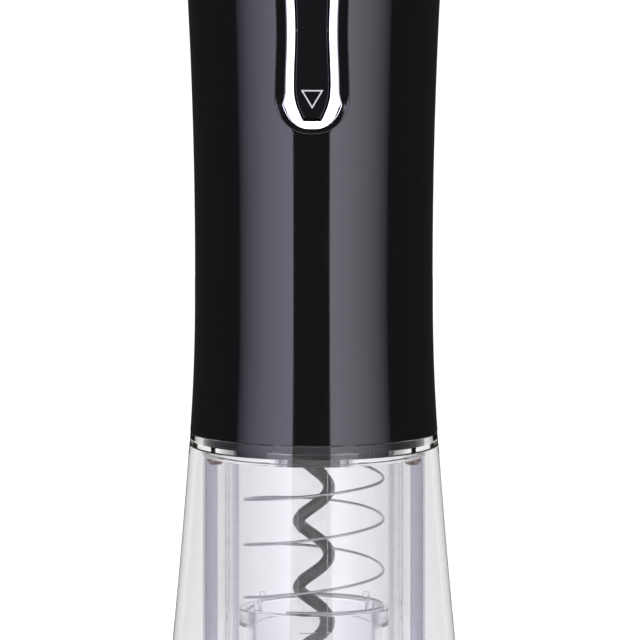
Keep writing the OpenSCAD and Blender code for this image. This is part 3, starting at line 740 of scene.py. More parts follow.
@dataclass(frozen=True)
class Grip:
    """The outline that the black housing, the skirt and the cap share."""

    skirt_top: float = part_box("clear_skirt")[1].z
    top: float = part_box("front_housing")[1].z
    foot_r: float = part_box("clear_skirt")[1].x
    top_r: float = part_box("front_housing")[1].x
    waist_r: float = 24.8 * MM
    rim_flare: float = 1.0 * MM
    waist_up: float = 28 * MM
    waist_len: float = 6.5 * MM
    foot_share: float = 0.716

    @property
    def rim_r(self) -> float:
        """Radius at the lower edge of the housing."""
        return self.waist_r + self.rim_flare

    @property
    def top_slope(self) -> float:
        """How fast the housing widens at its upper edge."""
        return 2 * (self.top_r - self.waist_r) / (self.top - self.skirt_top - self.waist_up - self.waist_len)

    def body_r(self, z: float) -> float:
        """Radius of the housing at a height."""
        low = self.skirt_top + self.waist_up
        high = low + self.waist_len
        if z < low:
            return self.waist_r + self.rim_flare * ((low - z) / self.waist_up) ** 2
        if z > high:
            return self.waist_r + (self.top_r - self.waist_r) * ((z - high) / (self.top - high)) ** 2
        return self.waist_r

    def skirt_r(self, z: float) -> float:
        """Radius of the clear skirt at a height."""
        t = (self.skirt_top - z) / self.skirt_top
        return self.rim_r + (self.foot_r - self.rim_r) * (self.foot_share * t + (1 - self.foot_share) * t * t)

    def sunk(self, x: float, z: float, depth: float) -> Vector:
        """A point of the front surface, at a depth under it."""
        r = self.body_r(z) - depth
        return Vector((x, -math.sqrt(max(r * r - x * x, 0.0)), z))


@dataclass(frozen=True)
class Waisted:
    """A long outline that narrows at its waist and has blunt rounded ends."""

    half_l: float
    half_w: float
    grow: float
    middle: float
    end: float = 6.6 * MM
    blunt: float = 0.45
    fullness: float = 0.9
    side_steps: int = 18
    end_steps: int = 15

    def width(self, u: float) -> float:
        """Half the width at a distance from the middle."""
        straight = self.half_l - self.end
        t = min(1.0, u / straight)
        wide = self.half_w + self.grow * t * t * (3 - 2 * t)
        blunt = self.blunt * wide
        e = min(1.0, max(0.0, u - straight) / self.end)
        return blunt + (wide - blunt) * (1 - e * e) ** self.fullness

    def quarter(self) -> list[Point2]:
        """Points from the waist up to the end's middle, as X and the distance along."""
        straight = self.half_l - self.end
        sides = [straight * i / self.side_steps for i in range(self.side_steps)]
        round_steps = self.end_steps * 2 // 3
        ends = [straight + self.end * math.sin(math.pi / 2 * i / round_steps) for i in range(round_steps + 1)]
        points = [(self.width(u), u) for u in sides + ends]
        flat = self.end_steps - round_steps
        tip = points[-1][0]
        return points + [(tip * (1 - i / flat), self.half_l) for i in range(1, flat + 1)]

    def points(self) -> list[Point2]:
        """The whole outline, anticlockwise seen from the front, from the waist on +X."""
        q = self.quarter()
        return (
            q[:-1]
            + [(-x, u) for x, u in reversed(q[1:])]
            + [(-x, -u) for x, u in q[:-1]]
            + [(x, -u) for x, u in reversed(q[1:])]
        )


# ----------------------------------------------------------------- assembly


@dataclass
class Housing:
    """The black grip: two half shells and what holds them."""

    grip: Grip
    recess: Waisted
    wall: float = 2.2 * MM
    edge: float = 0.15 * MM
    plug_gap: float = 0.1 * MM
    steps: int = 120
    rows: int = 108
    gloss: bpy.types.Material = field(default_factory=lambda: PianoBlack().build("piano_black"))

    def half(self, name: str) -> bpy.types.Object:
        """The outer surface of the front half."""
        low, high = self.grip.skirt_top, self.grip.top
        heights = [low + (high - low) * i / self.rows for i in range(self.rows + 1)]
        line = [(self.grip.body_r(z), z) for z in heights]
        return lathe(name, line, steps=self.steps, sweep=180, closed=False)

    def thicken(self, shell: bpy.types.Object) -> bpy.types.Object:
        """Gives a half shell its wall and its softened edges."""
        modify(shell, Apply.SOLIDIFY, thickness=self.wall, offset=-1, use_even_offset=True)
        modify(shell, Apply.BEVEL, width=self.edge, segments=3, limit_method="ANGLE", angle_limit=math.radians(50))
        return smooth(shell, 40)

    def face_out(self, shell: bpy.types.Object) -> None:
        """Turns a half shell's faces away from the axis."""
        centre = shell.data.polygons[len(shell.data.polygons) // 2]
        outward = Vector((centre.center.x, centre.center.y, 0)).dot(centre.normal)
        if outward < 0:
            edit(shell)
            bpy.ops.mesh.flip_normals()
            close(shell)

    def window(self, shell: bpy.types.Object) -> None:
        """Opens the front shell round the button, with rows of faces that flow round the opening."""
        recess = self.recess
        per_step = math.pi / self.steps
        row = (self.grip.top - self.grip.skirt_top) / self.rows
        half_angle = recess.end_steps * per_step
        nearest = round((recess.middle - self.grip.skirt_top) / row)
        low = self.grip.skirt_top + (nearest - recess.side_steps) * row
        high = self.grip.skirt_top + (nearest + recess.side_steps) * row
        slack = 0.02 * MM

        def inside(x: float, y: float, z: float, more: float) -> bool:
            """True for a place in the window, grown by a little."""
            return y < 0 and abs(math.atan2(x, -y)) < half_angle + more and low - more < z < high + more

        edit(shell, everything=False)
        pick(shell, "FACE", lambda f: inside(*f.calc_center_median(), 0.0))
        bpy.ops.mesh.delete(type="FACE")
        close(shell)
        rim = loop("recess_rim", [self.grip.sunk(x, recess.middle + u, 0) for x, u in recess.points()])
        join([shell, rim], shell.name)
        edit(shell, everything=False)
        pick(
            shell,
            "EDGE",
            lambda e: e.is_wire or (e.is_boundary and all(inside(*v.co, slack) for v in e.verts)),
        )
        bpy.ops.mesh.bridge_edge_loops(number_cuts=6, interpolation="LINEAR")
        bpy.ops.mesh.select_all(action="SELECT")
        bpy.ops.mesh.normals_make_consistent(inside=False)
        close(shell)
        for vertex in shell.data.vertices:
            x, y, z = vertex.co
            if inside(x, y, z, slack):
                vertex.co = self.grip.sunk(x, z, 0)
        self.face_out(shell)

    def build(self) -> None:
        """Makes both halves."""
        front = self.half("grip_front")
        self.window(front)
        install(self.thicken(front), "root", "black_gloss", self.gloss, "front_housing")
        back = self.half("grip_back")
        for vertex in back.data.vertices:
            vertex.co.y = -vertex.co.y
        tidy(back)
        self.face_out(back)
        self.thicken(back)
        plug_low, plug_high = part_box("screw_plugs")
        radius = (plug_high.z - plug_low.z) / 2
        z = (plug_low.z + plug_high.z) / 2
        for x in (plug_low.x + radius, plug_high.x - radius):
            tool = rod("plug_hole", radius + self.plug_gap, Vector((x, 5 * MM, z)), Vector((x, 40 * MM, z)))
            combine(back, tool, "DIFFERENCE")
        smooth(back, 40)
        install(back, "root", "black_gloss", self.gloss, "rear_housing")
        dress(frame["nodes"]["screw_plugs"], self.gloss)


@dataclass
class BatteryCap:
    """The domed cap that lifts off the top."""

    grip: Grip
    gloss: bpy.types.Material
    wall: float = 2.2 * MM
    roundness: float = 2.6
    inner_roundness: float = 2.3
    edge: float = 0.3 * MM
    ring_gap: float = 1.0 * MM
    steps: int = 40

    def outline(self, t: float, r: float, h: float) -> float:
        """Radius at a share of the dome's height."""
        bulge = self.grip.top_slope * h * t * (1 - t) ** 2
        return (r + bulge) * (1 - t**self.roundness) ** (1 / self.roundness)

    def build(self) -> None:
        """Makes the cap as one turned shell."""
        low, high = (corner.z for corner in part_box("battery_cap"))
        height = high - low
        ring_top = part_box("top_ring")[1].z + self.ring_gap
        shares = [math.sin(math.pi / 2 * i / self.steps) for i in range(self.steps + 1)]
        outer = [(self.outline(t, self.grip.top_r, height), low + t * height) for t in shares]
        inner_r = self.grip.top_r - self.wall
        inner_h = high - self.wall - ring_top
        power = self.inner_roundness
        inner = [(inner_r * (1 - t**power) ** (1 / power), ring_top + t * inner_h) for t in shares]
        rim = rounded(
            [(inner_r, ring_top, 0), (inner_r, low, self.edge), (outer[0][0], low, self.edge), (*outer[2], 0)]
        )
        section = rim + outer[3:] + list(reversed(inner[1:]))
        cap = lathe("cap_dome", section, steps=160)
        install(smooth(cap, 40), "cap", "black_gloss", self.gloss, "battery_cap")


@dataclass
class Skirt:
    """The clear flared skirt."""

    grip: Grip
    clear: bpy.types.Material
    wall: float = 2.0 * MM
    neck_step: float = 0.08 * MM
    ledge_t: float = 1.0 * MM
    ledge_hole_r: float = 17.0 * MM
    chassis_gap: float = 0.12 * MM
    gap: float = 0.06 * MM
    rows: int = 60

    def build(self) -> None:
        """Makes the skirt as one turned shell with its clamping ledge."""
        chassis_low, chassis_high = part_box("chassis_plate")
        seat_r = chassis_high.x + self.chassis_gap
        ledge = chassis_low.z
        ledge_top = ledge + self.ledge_t
        top = self.grip.skirt_top - self.gap
        foot = self.grip.foot_r
        heights = [ledge * i / self.rows for i in range(1, self.rows)]
        outer = [(self.grip.skirt_r(z), z, 0) for z in heights]
        inner = [(self.grip.skirt_r(z) - self.wall, z, 0) for z in reversed(heights)]
        neck = self.grip.rim_r - self.neck_step
        corners = (
            [(foot, 0, 0.5 * MM)]
            + outer
            + [
                (neck, top, 0.15 * MM),
                (seat_r, top, 0.1 * MM),
                (seat_r, ledge_top - self.gap, 0),
                (self.ledge_hole_r, ledge_top - self.gap, 0),
                (self.ledge_hole_r, ledge + self.gap, 0),
                (self.grip.skirt_r(ledge) - self.wall, ledge + self.gap, 0.4 * MM),
            ]
            + inner
            + [(foot - self.wall, 0, 0.4 * MM)]
        )
        skirt = lathe("skirt_shell", rounded(corners, 4), steps=160)
        install(smooth(skirt, 40), "root", "clear_plastic", self.clear, "clear_skirt")


@dataclass
class Guide:
    """The clear guide tube with its flange and hollow screw posts."""

    clear: bpy.types.Material
    # Clear finish of the screw posts, with painted grey shade on their outer side.
    smoky: bpy.types.Material
    bore_r: float = 16 * MM
    wall: float = 1.8 * MM
    mouth_r: float = 16.5 * MM
    mouth_top: float = 20 * MM
    post_r: float = 2.8 * MM
    post_bore_r: float = 2.1 * MM
    hub_hole_r: float = 6.3 * MM
    keyway_w: float = 5.9 * MM
    keyway_r: float = 17.0 * MM
    keyway_low: float = 23.8 * MM
    post_low: float = 8 * MM
    flange_t: float = 1.8 * MM
    screw_hole_r: float = 1.2 * MM
    web_half: float = 0.8 * MM
    gap: float = 0.06 * MM

    def build(self) -> None:
        """Turns the tube and its flange, then adds the posts and cuts the keyways."""
        low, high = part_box("guide_tube")
        screw_low, screw_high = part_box("guide_screws")
        head_r = (screw_high.y - screw_low.y) / 2
        post_x = screw_high.x - head_r
        flange_r = high.x
        flange_z = high.z - self.flange_t
        out_r = self.bore_r + self.wall
        corners = [
            (self.mouth_r, low.z, 0.4 * MM),
            (out_r, low.z, 0.5 * MM),
            (out_r, flange_z, 0.5 * MM),
            (flange_r, flange_z, 0.2 * MM),
            (flange_r, high.z - self.gap, 0.2 * MM),
            (self.hub_hole_r, high.z - self.gap, 0.2 * MM),
            (self.hub_hole_r, flange_z, 0.2 * MM),
            (self.bore_r, flange_z, 0.4 * MM),
            (self.bore_r, self.mouth_top, 0),
            (self.mouth_r, self.mouth_top - 0.4 * MM, 0),
        ]
        tube = lathe("guide_shell", rounded(corners, 4), steps=128)
        for side, name in ((-1, "guide_post_left"), (1, "guide_post_right")):
            x = side * post_x
            under, over = Vector((x, 0, flange_z - 1 * MM)), Vector((x, 0, high.z + 9 * MM))
            through = rod("screw_hole", self.screw_hole_r, under, over, 32)
            combine(tube, through, "DIFFERENCE")
            combine(tube, self.keyway(side, flange_z), "DIFFERENCE")
            post = self.post(x, flange_z)
            bore = rod("post_bore", self.post_bore_r, Vector((x, 0, low.z)), Vector((x, 0, high.z)), 48)
            combine(post, bore, "DIFFERENCE")
            install(smooth(post, 35), "root", "clear_plastic", self.smoky, "guide_tube")
            post.name = name
        install(smooth(tube, 35), "root", "clear_plastic", self.clear, "guide_tube")

    def post(self, x: float, top: float) -> bpy.types.Object:
        """One solid screw post with its web to the tube."""
        side = math.copysign(1, x)
        web_in = side * (self.bore_r + self.wall)
        web = block(
            "web",
            Vector((min(web_in, x), -self.web_half, self.post_low)),
            Vector((max(web_in, x), self.web_half, top - self.gap)),
        )
        post = rod("post", self.post_r, Vector((x, 0, self.post_low)), Vector((x, 0, top - self.gap)), 64)
        return combine(post, web, "UNION")

    def keyway(self, side: int, top: float) -> bpy.types.Object:
        """The cutter of one keyway in the bore's wall, at the front or the back."""
        y_in, y_out = side * 10 * MM, side * (self.keyway_r + 1 * MM)
        half = self.keyway_w / 2
        slot = block(
            "keyway",
            Vector((-half, min(y_in, y_out), self.keyway_low)),
            Vector((half, max(y_in, y_out), top - 0.3 * MM)),
        )
        floor = rod("keyway_floor", self.keyway_r, Vector((0, 0, 0)), Vector((0, 0, 2 * top)), 256)
        return combine(slot, floor, "INTERSECT")


@dataclass
class GuideScrews:
    """Pan-head screws that hold the guide up into the chassis."""

    finish: bpy.types.Material = field(
        default_factory=lambda: Metal((0.46, 0.35, 0.26), 0.22, 0.3 * MM, (1.0, 1.0, 1.0)).build("warm_screw")
    )
    flange_t: float = 1.8 * MM
    thread_r: float = 1.1 * MM
    core_r: float = 0.902 * MM
    pitch: float = 0.7 * MM
    slot_depth: float = 0.9 * MM

    def one(self, x: float) -> bpy.types.Object:
        """One screw, head down, with a cross recess and a rolled thread."""
        low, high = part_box("guide_screws")
        head_r = (high.y - low.y) / 2
        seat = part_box("guide_tube")[1].z - self.flange_t
        head = rounded(
            [
                (0, low.z, 0),
                (head_r * 0.62, low.z, 0.5 * MM),
                (head_r, low.z + 1.0 * MM, 0.5 * MM),
                (head_r, seat, 0.15 * MM),
            ]
        )
        threads = int((high.z - seat - 1 * MM) / self.pitch)
        shank = [(self.core_r, seat)]
        for i in range(threads):
            z = seat + i * self.pitch
            shank += [(self.core_r, z + 0.2 * self.pitch), (self.thread_r, z + 0.5 * self.pitch)]
        shank += [(self.thread_r * 0.5, high.z - 0.3 * MM), (0, high.z)]
        screw = lathe("guide_screw", head + shank, steps=40, at=(x, 0))
        for reach, half in ((0.62, 0.16), (0.16, 0.62)):
            a, b = reach * head_r, half * head_r
            slot = block("cross", Vector((x - a, -b, low.z - 1 * MM)), Vector((x + a, b, low.z + self.slot_depth)))
            combine(screw, slot, "DIFFERENCE")
        return screw

    def build(self) -> None:
        """Makes both screws."""
        low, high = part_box("guide_screws")
        reach = high.x - (high.y - low.y) / 2
        screws = join([self.one(-reach), self.one(reach)], "guide_screw_pair")
        install(smooth(screws, 35), "root", "warm_screw", self.finish, "guide_screws")


@dataclass
class Collar:
    """The clear cork collar that slides on the guide's keyways."""

    clear: bpy.types.Material
    bore_r: float = 12.3 * MM
    tube_r: float = 14.2 * MM
    flange_r: float = 15.6 * MM
    top_flange: float = 3.6 * MM
    foot_flange: float = 2.4 * MM
    key_w: float = 5.3 * MM
    peg_r: float = 0.75 * MM
    peg_h: float = 2.0 * MM
    peg_turn: float = 58

    def build(self) -> None:
        """Turns the collar and adds its keys."""
        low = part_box("cork_collar")[0].z
        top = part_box("collar_spring")[0].z - 0.1 * MM
        key_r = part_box("cork_collar")[1].y
        edge = 0.25 * MM
        corners = [
            (self.bore_r, low, 0.6 * MM),
            (self.flange_r, low, edge),
            (self.flange_r, low + self.foot_flange, edge),
            (self.tube_r, low + self.foot_flange, edge),
            (self.tube_r, top - self.top_flange, edge),
            (self.flange_r, top - self.top_flange, edge),
            (self.flange_r, top, edge),
            (self.bore_r, top, 0.6 * MM),
        ]
        collar = lathe("collar_shell", rounded(corners, 4), steps=128)
        for side in (-1, 1):
            for z0, z1 in ((low, low + self.foot_flange), (top - self.top_flange, top)):
                inner, outer = side * (self.bore_r + 1 * MM), side * key_r
                key = block(
                    "key",
                    Vector((-self.key_w / 2, min(inner, outer), z0 + 0.02 * MM)),
                    Vector((self.key_w / 2, max(inner, outer), z1 - 0.02 * MM)),
                )
                combine(collar, key, "UNION")
        for side in (-1, 1):
            for turn in (-self.peg_turn, self.peg_turn):
                a = math.radians(side * 90 + turn)
                r = self.bore_r + 0.9 * MM
                foot = Vector((r * math.cos(a), r * math.sin(a), top - 1 * MM))
                peg = rod("peg", self.peg_r, foot, foot + Vector((0, 0, self.peg_h + 1 * MM)), 32)
                combine(collar, peg, "UNION")
        install(smooth(collar, 35), "collar", "clear_plastic", self.clear, "cork_collar")


@dataclass
class WormDrive:
    """The worm with its hub."""

    wire_r: float = 1.3 * MM
    pitch: float = 14 * MM
    point: float = 9 * MM
    per_turn: int = 48
    turn: float = 137
    coating: bpy.types.Material = field(default_factory=lambda: NonStick().build("non_stick"))
    hub_finish: bpy.types.Material = field(
        default_factory=lambda: Moulded((0.030, 0.030, 0.045), 0.32).build("hub_nylon")
    )

    def build(self) -> None:
        """Makes the worm and its hub."""
        low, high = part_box("worm")
        hub_low, hub_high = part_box("worm_hub")
        outer_r = high.x
        axis_r = outer_r - self.wire_r
        end_z = hub_low.z + 0.6 * MM
        tip_z = low.z + 0.1 * MM
        count = int((end_z - tip_z) / self.pitch * self.per_turn)
        points, radii = [], []
        for i in range(count + 1):
            z = tip_z + (end_z - tip_z) * i / count
            a = math.radians(360 * (z - end_z) / self.pitch + self.turn)
            points.append(Vector((axis_r * math.cos(a), axis_r * math.sin(a), z)))
            share = min(1.0, (z - tip_z) / self.point)
            radii.append(self.wire_r * (0.06 + 0.94 * math.sin(math.pi / 2 * share)))
        worm = wire("worm_wire", points, radii, 24)
        install(smooth(worm, 60, weighted=False), "spindle", "worm_coating", self.coating, "worm")
        r = hub_high.x
        corners = [
            (0, hub_low.z, 0),
            (r - 0.8 * MM, hub_low.z, 0.5 * MM),
            (r, hub_low.z + 0.9 * MM, 0.4 * MM),
            (r, hub_high.z, 0.2 * MM),
            (0, hub_high.z, 0),
        ]
        hub = lathe("hub", rounded(corners), steps=64)
        install(smooth(hub), "spindle", "black_nylon", self.hub_finish, "worm_hub")


@dataclass
class Spring:
    """The thin spring that presses the collar down."""

    wire_r: float = 0.3 * MM
    mean_r: float = 14.5 * MM
    turns: float = 3.24
    end_turns: float = 0.7
    share: float = 0.69
    start: float = 0.63
    lean: float = 0.45 * MM
    per_turn: int = 64
    finish: bpy.types.Material = field(
        default_factory=lambda: Metal((0.62, 0.62, 0.64), 0.24, 0.12 * MM, (1.0, 1.0, 1.0)).build("spring_wire")
    )

    def build(self) -> None:
        """Makes the spring; the share of its length left at the collar's full travel is worked out but not used.
        """
        low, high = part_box("collar_spring")
        z_low, z_high = low.z + self.wire_r, high.z - self.wire_r
        total = self.turns + 2 * self.end_turns
        count = int(total * self.per_turn)
        points = []
        for i in range(count + 1):
            k = total * i / count - self.end_turns
            t = max(0.0, min(1.0, k / self.turns))
            drop = self.share * t + (1 - self.share) * t * t
            a = math.radians(-360 * (k - self.start))
            x, y = self.mean_r * math.cos(a), self.mean_r * math.sin(a)
            lift = self.lean * math.cos(a) * math.sin(math.pi * t)
            points.append(Vector((x, y, z_high - (z_high - z_low) * drop + lift)))
        spring = wire("collar_spring_wire", points, [self.wire_r] * len(points), 12)
        install(smooth(spring, 60, weighted=False), "root", "spring_steel", self.finish, "collar_spring")
        travel = next(j["range_m"][1] for j in frame["joints"] if j["name"] == "collar_slide")
        keep = 1 - travel / (high.z - low.z)
        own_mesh(spring)


@dataclass
class Button:
    """The rocker, its bright bezel and its printed marks."""

    grip: Grip
    recess: Waisted
    rocker: Waisted
    housing_gloss: bpy.types.Material
    play: float = 0.3 * MM
    split: float = 0.54
    end_split: float = 0.30
    end_rise: float = 0.6
    flare_low: float = 14.0 * MM
    flare_len: float = 1.6 * MM
    bezel_depth: float = 1.25 * MM
    edge_depth: float = 0.62 * MM
    lip_depth_mm: float = 0.43
    hidden_depth_mm: float = 1.5
    crown: float = -0.17 * MM
    chrome: bpy.types.Material = field(default_factory=lambda: Chrome().build("chrome"))
    gloss: bpy.types.Material = field(
        default_factory=lambda: PianoBlack((0.003, 0.003, 0.0034), 0.07).build("rocker_black")
    )
    ink: bpy.types.Material = field(default_factory=lambda: PrintInk().build("print_ink"))

    def loft(self, name: str, rings: Sequence[Sequence[Vector]], closed: bool) -> bpy.types.Object:
        """Extrudes a loop from ring to ring.

        Args:
            name: the piece's name.
            rings: the places of each ring's points.
            closed: joins the last ring to the first.

        Returns:
            The piece, in object mode.
        """
        obj = loop(name, rings[0])
        count = len(rings[0])
        for ring in rings[1:]:
            edit(obj, everything=False)
            last = len(obj.data.vertices) - count
            pick(obj, "EDGE", lambda e: all(v.index >= last for v in e.verts))
            bpy.ops.mesh.extrude_edges_move()
            close(obj)
            for vertex, point in zip(obj.data.vertices[-count:], self.paired(obj, count, ring)):
                vertex.co = point
        if closed:
            edit(obj, everything=False)
            pick(obj, "EDGE", lambda e: e.is_boundary)
            bpy.ops.mesh.bridge_edge_loops()
            close(obj)
        return tidy(obj)

    @staticmethod
    def paired(obj: bpy.types.Object, count: int, ring: Sequence[Vector]) -> list[Vector]:
        """The ring's points in the order of the vertices that were extruded from the last ring."""
        total = len(obj.data.vertices)
        source = {}
        for edge in obj.data.edges:
            a, b = sorted(edge.vertices)
            if total - 2 * count <= a < total - count <= b:
                source[b] = a
        order = obj.get("ring_order") or list(range(count))
        first = total - 2 * count
        here = [order[source[total - count + i] - first] for i in range(count)]
        obj["ring_order"] = here
        return [ring[i] for i in here]

    def rings(self, section: Sequence[Point2]) -> list[list[Vector]]:
        """Loops between the recess's outline and the rocker's gap.

        Args:
            section: the share of the way inwards and the depth in mm under the housing's surface of each loop.

        Returns:
            The loops' points.
        """
        rocker = self.rocker
        inner = Waisted(rocker.half_l + self.play, rocker.half_w + self.play, rocker.grow, rocker.middle)
        pairs = list(zip(self.recess.points(), inner.points()))
        made = []
        for share, depth in section:
            ring = []
            for (x0, u0), (x1, u1) in pairs:
                k = min(1.0, max(0.0, (abs(u0) - self.flare_low) / self.flare_len))
                split = self.split + (self.end_split - self.split) * k * k * (3 - 2 * k)
                if share <= self.split:
                    t = share * split / self.split
                else:
                    t = 1 - (1 - share) * (1 - split) / (1 - self.split)
                ease = k * k * (3 - 2 * k) * min(1.0, (1 - share) / (1 - self.split))
                shown = min(depth, self.lip_depth_mm) if depth <= self.hidden_depth_mm else 0.0
                sink = (depth - self.end_rise * ease * shown) * MM
                ring.append(self.grip.sunk(x0 + (x1 - x0) * t, rocker.middle + u0 + (u1 - u0) * t, sink))
            made.append(ring)
        return made

    def shoulder(self) -> bpy.types.Object:
        """The black shoulder that falls gently from the housing to the bright frame."""
        section = [
            (0.008, 1.6), (0.008, 0.055), (0.02, 0.06), (0.15, 0.17), (0.32, 0.29), (0.46, 0.385),
            (0.515, 0.43), (0.53, 0.48), (0.53, 1.6),
        ]
        return self.loft("recess_shoulder", self.rings(section), closed=True)

    def bezel(self) -> bpy.types.Object:
        """The bright frame: a small lip, then a slope down to the rocker."""
        deep = self.bezel_depth / MM
        section = [
            (0.54, 3.2), (0.54, 0.50), (0.547, 0.45), (0.565, 0.44), (0.60, 0.50), (0.68, 0.66), (0.79, 0.90),
            (0.91, deep - 0.07), (0.96, deep + 0.02), (0.985, deep + 0.08), (1.0, deep + 0.22), (1.0, 3.2),
        ]
        return self.loft("bezel_frame", self.rings(section), closed=True)

    def face_depth(self, k: float) -> float:
        """Depth of the rocker's face at a share of its half width from the middle."""
        return self.edge_depth - self.crown * (1 - k * k)

    def inset(self, k: float) -> list[Point2]:
        """The rocker's outline drawn in towards its centreline."""
        points = []
        for x, u in self.rocker.points():
            pull = (1 - k) * self.rocker.half_w / self.rocker.half_l * (abs(u) / self.rocker.half_l) ** 4
            points.append((x * k, u * (1 - pull)))
        return points

    def rocker_cap(self) -> bpy.types.Object:
        """The crowned rocker with rounded edges."""
        middle = self.rocker.middle
        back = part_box("rocker_button")[1].y
        rings = [[Vector((x, back, middle + u)) for x, u in self.inset(1.0)]]
        for k, depth in ((1.0, 1.6), (1.0, 0.76), (0.988, 0.70)):
            rings.append([self.grip.sunk(x, middle + u, depth * MM) for x, u in self.inset(k)])
        for k in (0.955, 0.90, 0.80, 0.65, 0.5, 0.35, 0.2, 0.08, 0.0):
            rings.append([self.grip.sunk(x, middle + u, self.face_depth(k)) for x, u in self.inset(k)])
        cap = self.loft("rocker_cap", rings, closed=False)
        edit(cap, everything=False)
        pick(cap, "EDGE", lambda e: e.is_boundary)
        bpy.ops.mesh.edge_face_add()
        close(cap)
        return tidy(cap)

    def mark(self, name: str, sign: int) -> bpy.types.Object:
        """A thin outlined triangle printed near one end of the rocker.

        Args:
            name: the piece's name.
            sign: 1 at the upper end, pointing up, and -1 at the lower end, pointing down.

        Returns:
            The print as a very thin plate on the face.
        """
        base_u, tip_u, half = 12.0 * MM, 15.9 * MM, 2.3 * MM
        corners = [Vector((-half, base_u)), Vector((half, base_u)), Vector((0, tip_u))]
        centre = sum(corners, Vector((0, 0))) / 3
        steps = 10

        def side_points(scale: float) -> list[Point2]:
            """Points round the triangle, scaled about its middle."""
            points = []
            for a, b in zip(corners, corners[1:] + corners[:1]):
                for i in range(steps):
                    p = centre + (a + (b - a) * i / steps - centre) * scale
                    points.append((p.x, p.y))
            return points

        rings = []
        for scale in (1.0, 0.79):
            ring = []
            for x, u in side_points(scale):
                k = min(1.0, abs(x) / self.rocker.width(u))
                ring.append(self.grip.sunk(x, self.rocker.middle + sign * u, self.face_depth(k) - 0.02 * MM))
            rings.append(ring)
        plate = self.loft(name, rings, closed=False)
        modify(plate, Apply.SOLIDIFY, thickness=0.03 * MM, offset=0)
        return smooth(tidy(plate), 30)

    def build(self) -> None:
        """Makes the bezel, the rocker and both marks."""
        install(smooth(self.bezel(), 50, weighted=False), "root", "chrome", self.chrome, "button_bezel")
        install(smooth(self.shoulder(), 50, weighted=False), "root", "black_gloss", self.housing_gloss)
        cap = smooth(self.rocker_cap(), 28, weighted=False)
        install(cap, "rocker", "black_button", self.gloss, "rocker_button")
        for name, sign in (("mark_lift", 1), ("mark_drive", -1)):
            install(self.mark(name, sign), "rocker", "black_button", self.ink)


class Inside:
    """Finishes of the CAD nodes that keep their shape."""

    def finishes(self) -> dict[bpy.types.Material, list[str]]:
        """Each material with the nodes that wear it."""
        rotor_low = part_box("motor_rotor")[0].z
        cell_low, cell_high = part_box("battery_cells")
        return {
            Moulded((0.010, 0.010, 0.018), 0.3, specular=0.12).build("chassis_nylon"): ["chassis_plate"],
            Moulded((0.020, 0.020, 0.022), 0.5).build("black_nylon"): [
                "top_ring", "battery_tray", "switch_bodies", "board_parts", "motor_end_bell",
            ],
            Moulded((0.45, 0.45, 0.43), 0.42).build("grey_nylon"): ["gear_case"],
            Moulded((0.62, 0.58, 0.48), 0.35).build("acetal"): [f"planet_{s}{i}" for s in "123" for i in "abc"],
            Moulded((0.045, 0.045, 0.048), 0.75).build("ferrite"): ["motor_magnets"],
            Moulded((0.30, 0.012, 0.010), 0.4).build("red_insulation"): ["motor_leads"],
            Moulded((0.012, 0.012, 0.012), 0.4).build("black_insulation"): ["battery_leads"],
            Metal((0.52, 0.52, 0.54), 0.32).build("zinc_steel"): [
                "gear_case_lid", "gear_case_screws", "motor_can", "motor_screws", "housing_screws",
                "board_screws", "drive_spindle", "carrier_1", "carrier_2", "motor_shaft",
                "thrust_washer",
            ],
            Metal((0.05, 0.05, 0.05), 0.40).build("black_oxide"): ["rocker_pin"],
            Metal((0.48, 0.31, 0.13), 0.42, 0.18 * MM, (1.0, 1.0, 1.0)).build("bronze"): [
                "output_bearing", "motor_bearings",
            ],
            Metal((0.68, 0.50, 0.20), 0.28).build("brass"): ["motor_pinion", "motor_terminals"],
            Metal((0.60, 0.60, 0.61), 0.26).build("contact_steel"): [
                "lower_contacts", "cap_contact_plate", "cap_contact_springs",
            ],
            Rubber().build("soft_rubber"): ["cap_seal", "rocker_feet"],
            SolderMask().build("solder_mask"): ["circuit_board"],
            Windings(rotor_low + 5 * MM, rotor_low + 18 * MM).build("windings"): ["motor_rotor"],
            CellJacket(cell_low.z, cell_high.z).build("cell_jacket"): ["battery_cells"],
        }

    def build(self) -> None:
        """Dresses every node."""
        for material, nodes in self.finishes().items():
            for node in nodes:
                dress(frame["nodes"][node], material)
                LOG.info("%s wears %s", node, material.name)


# -------------------------------------------------------------------- studio


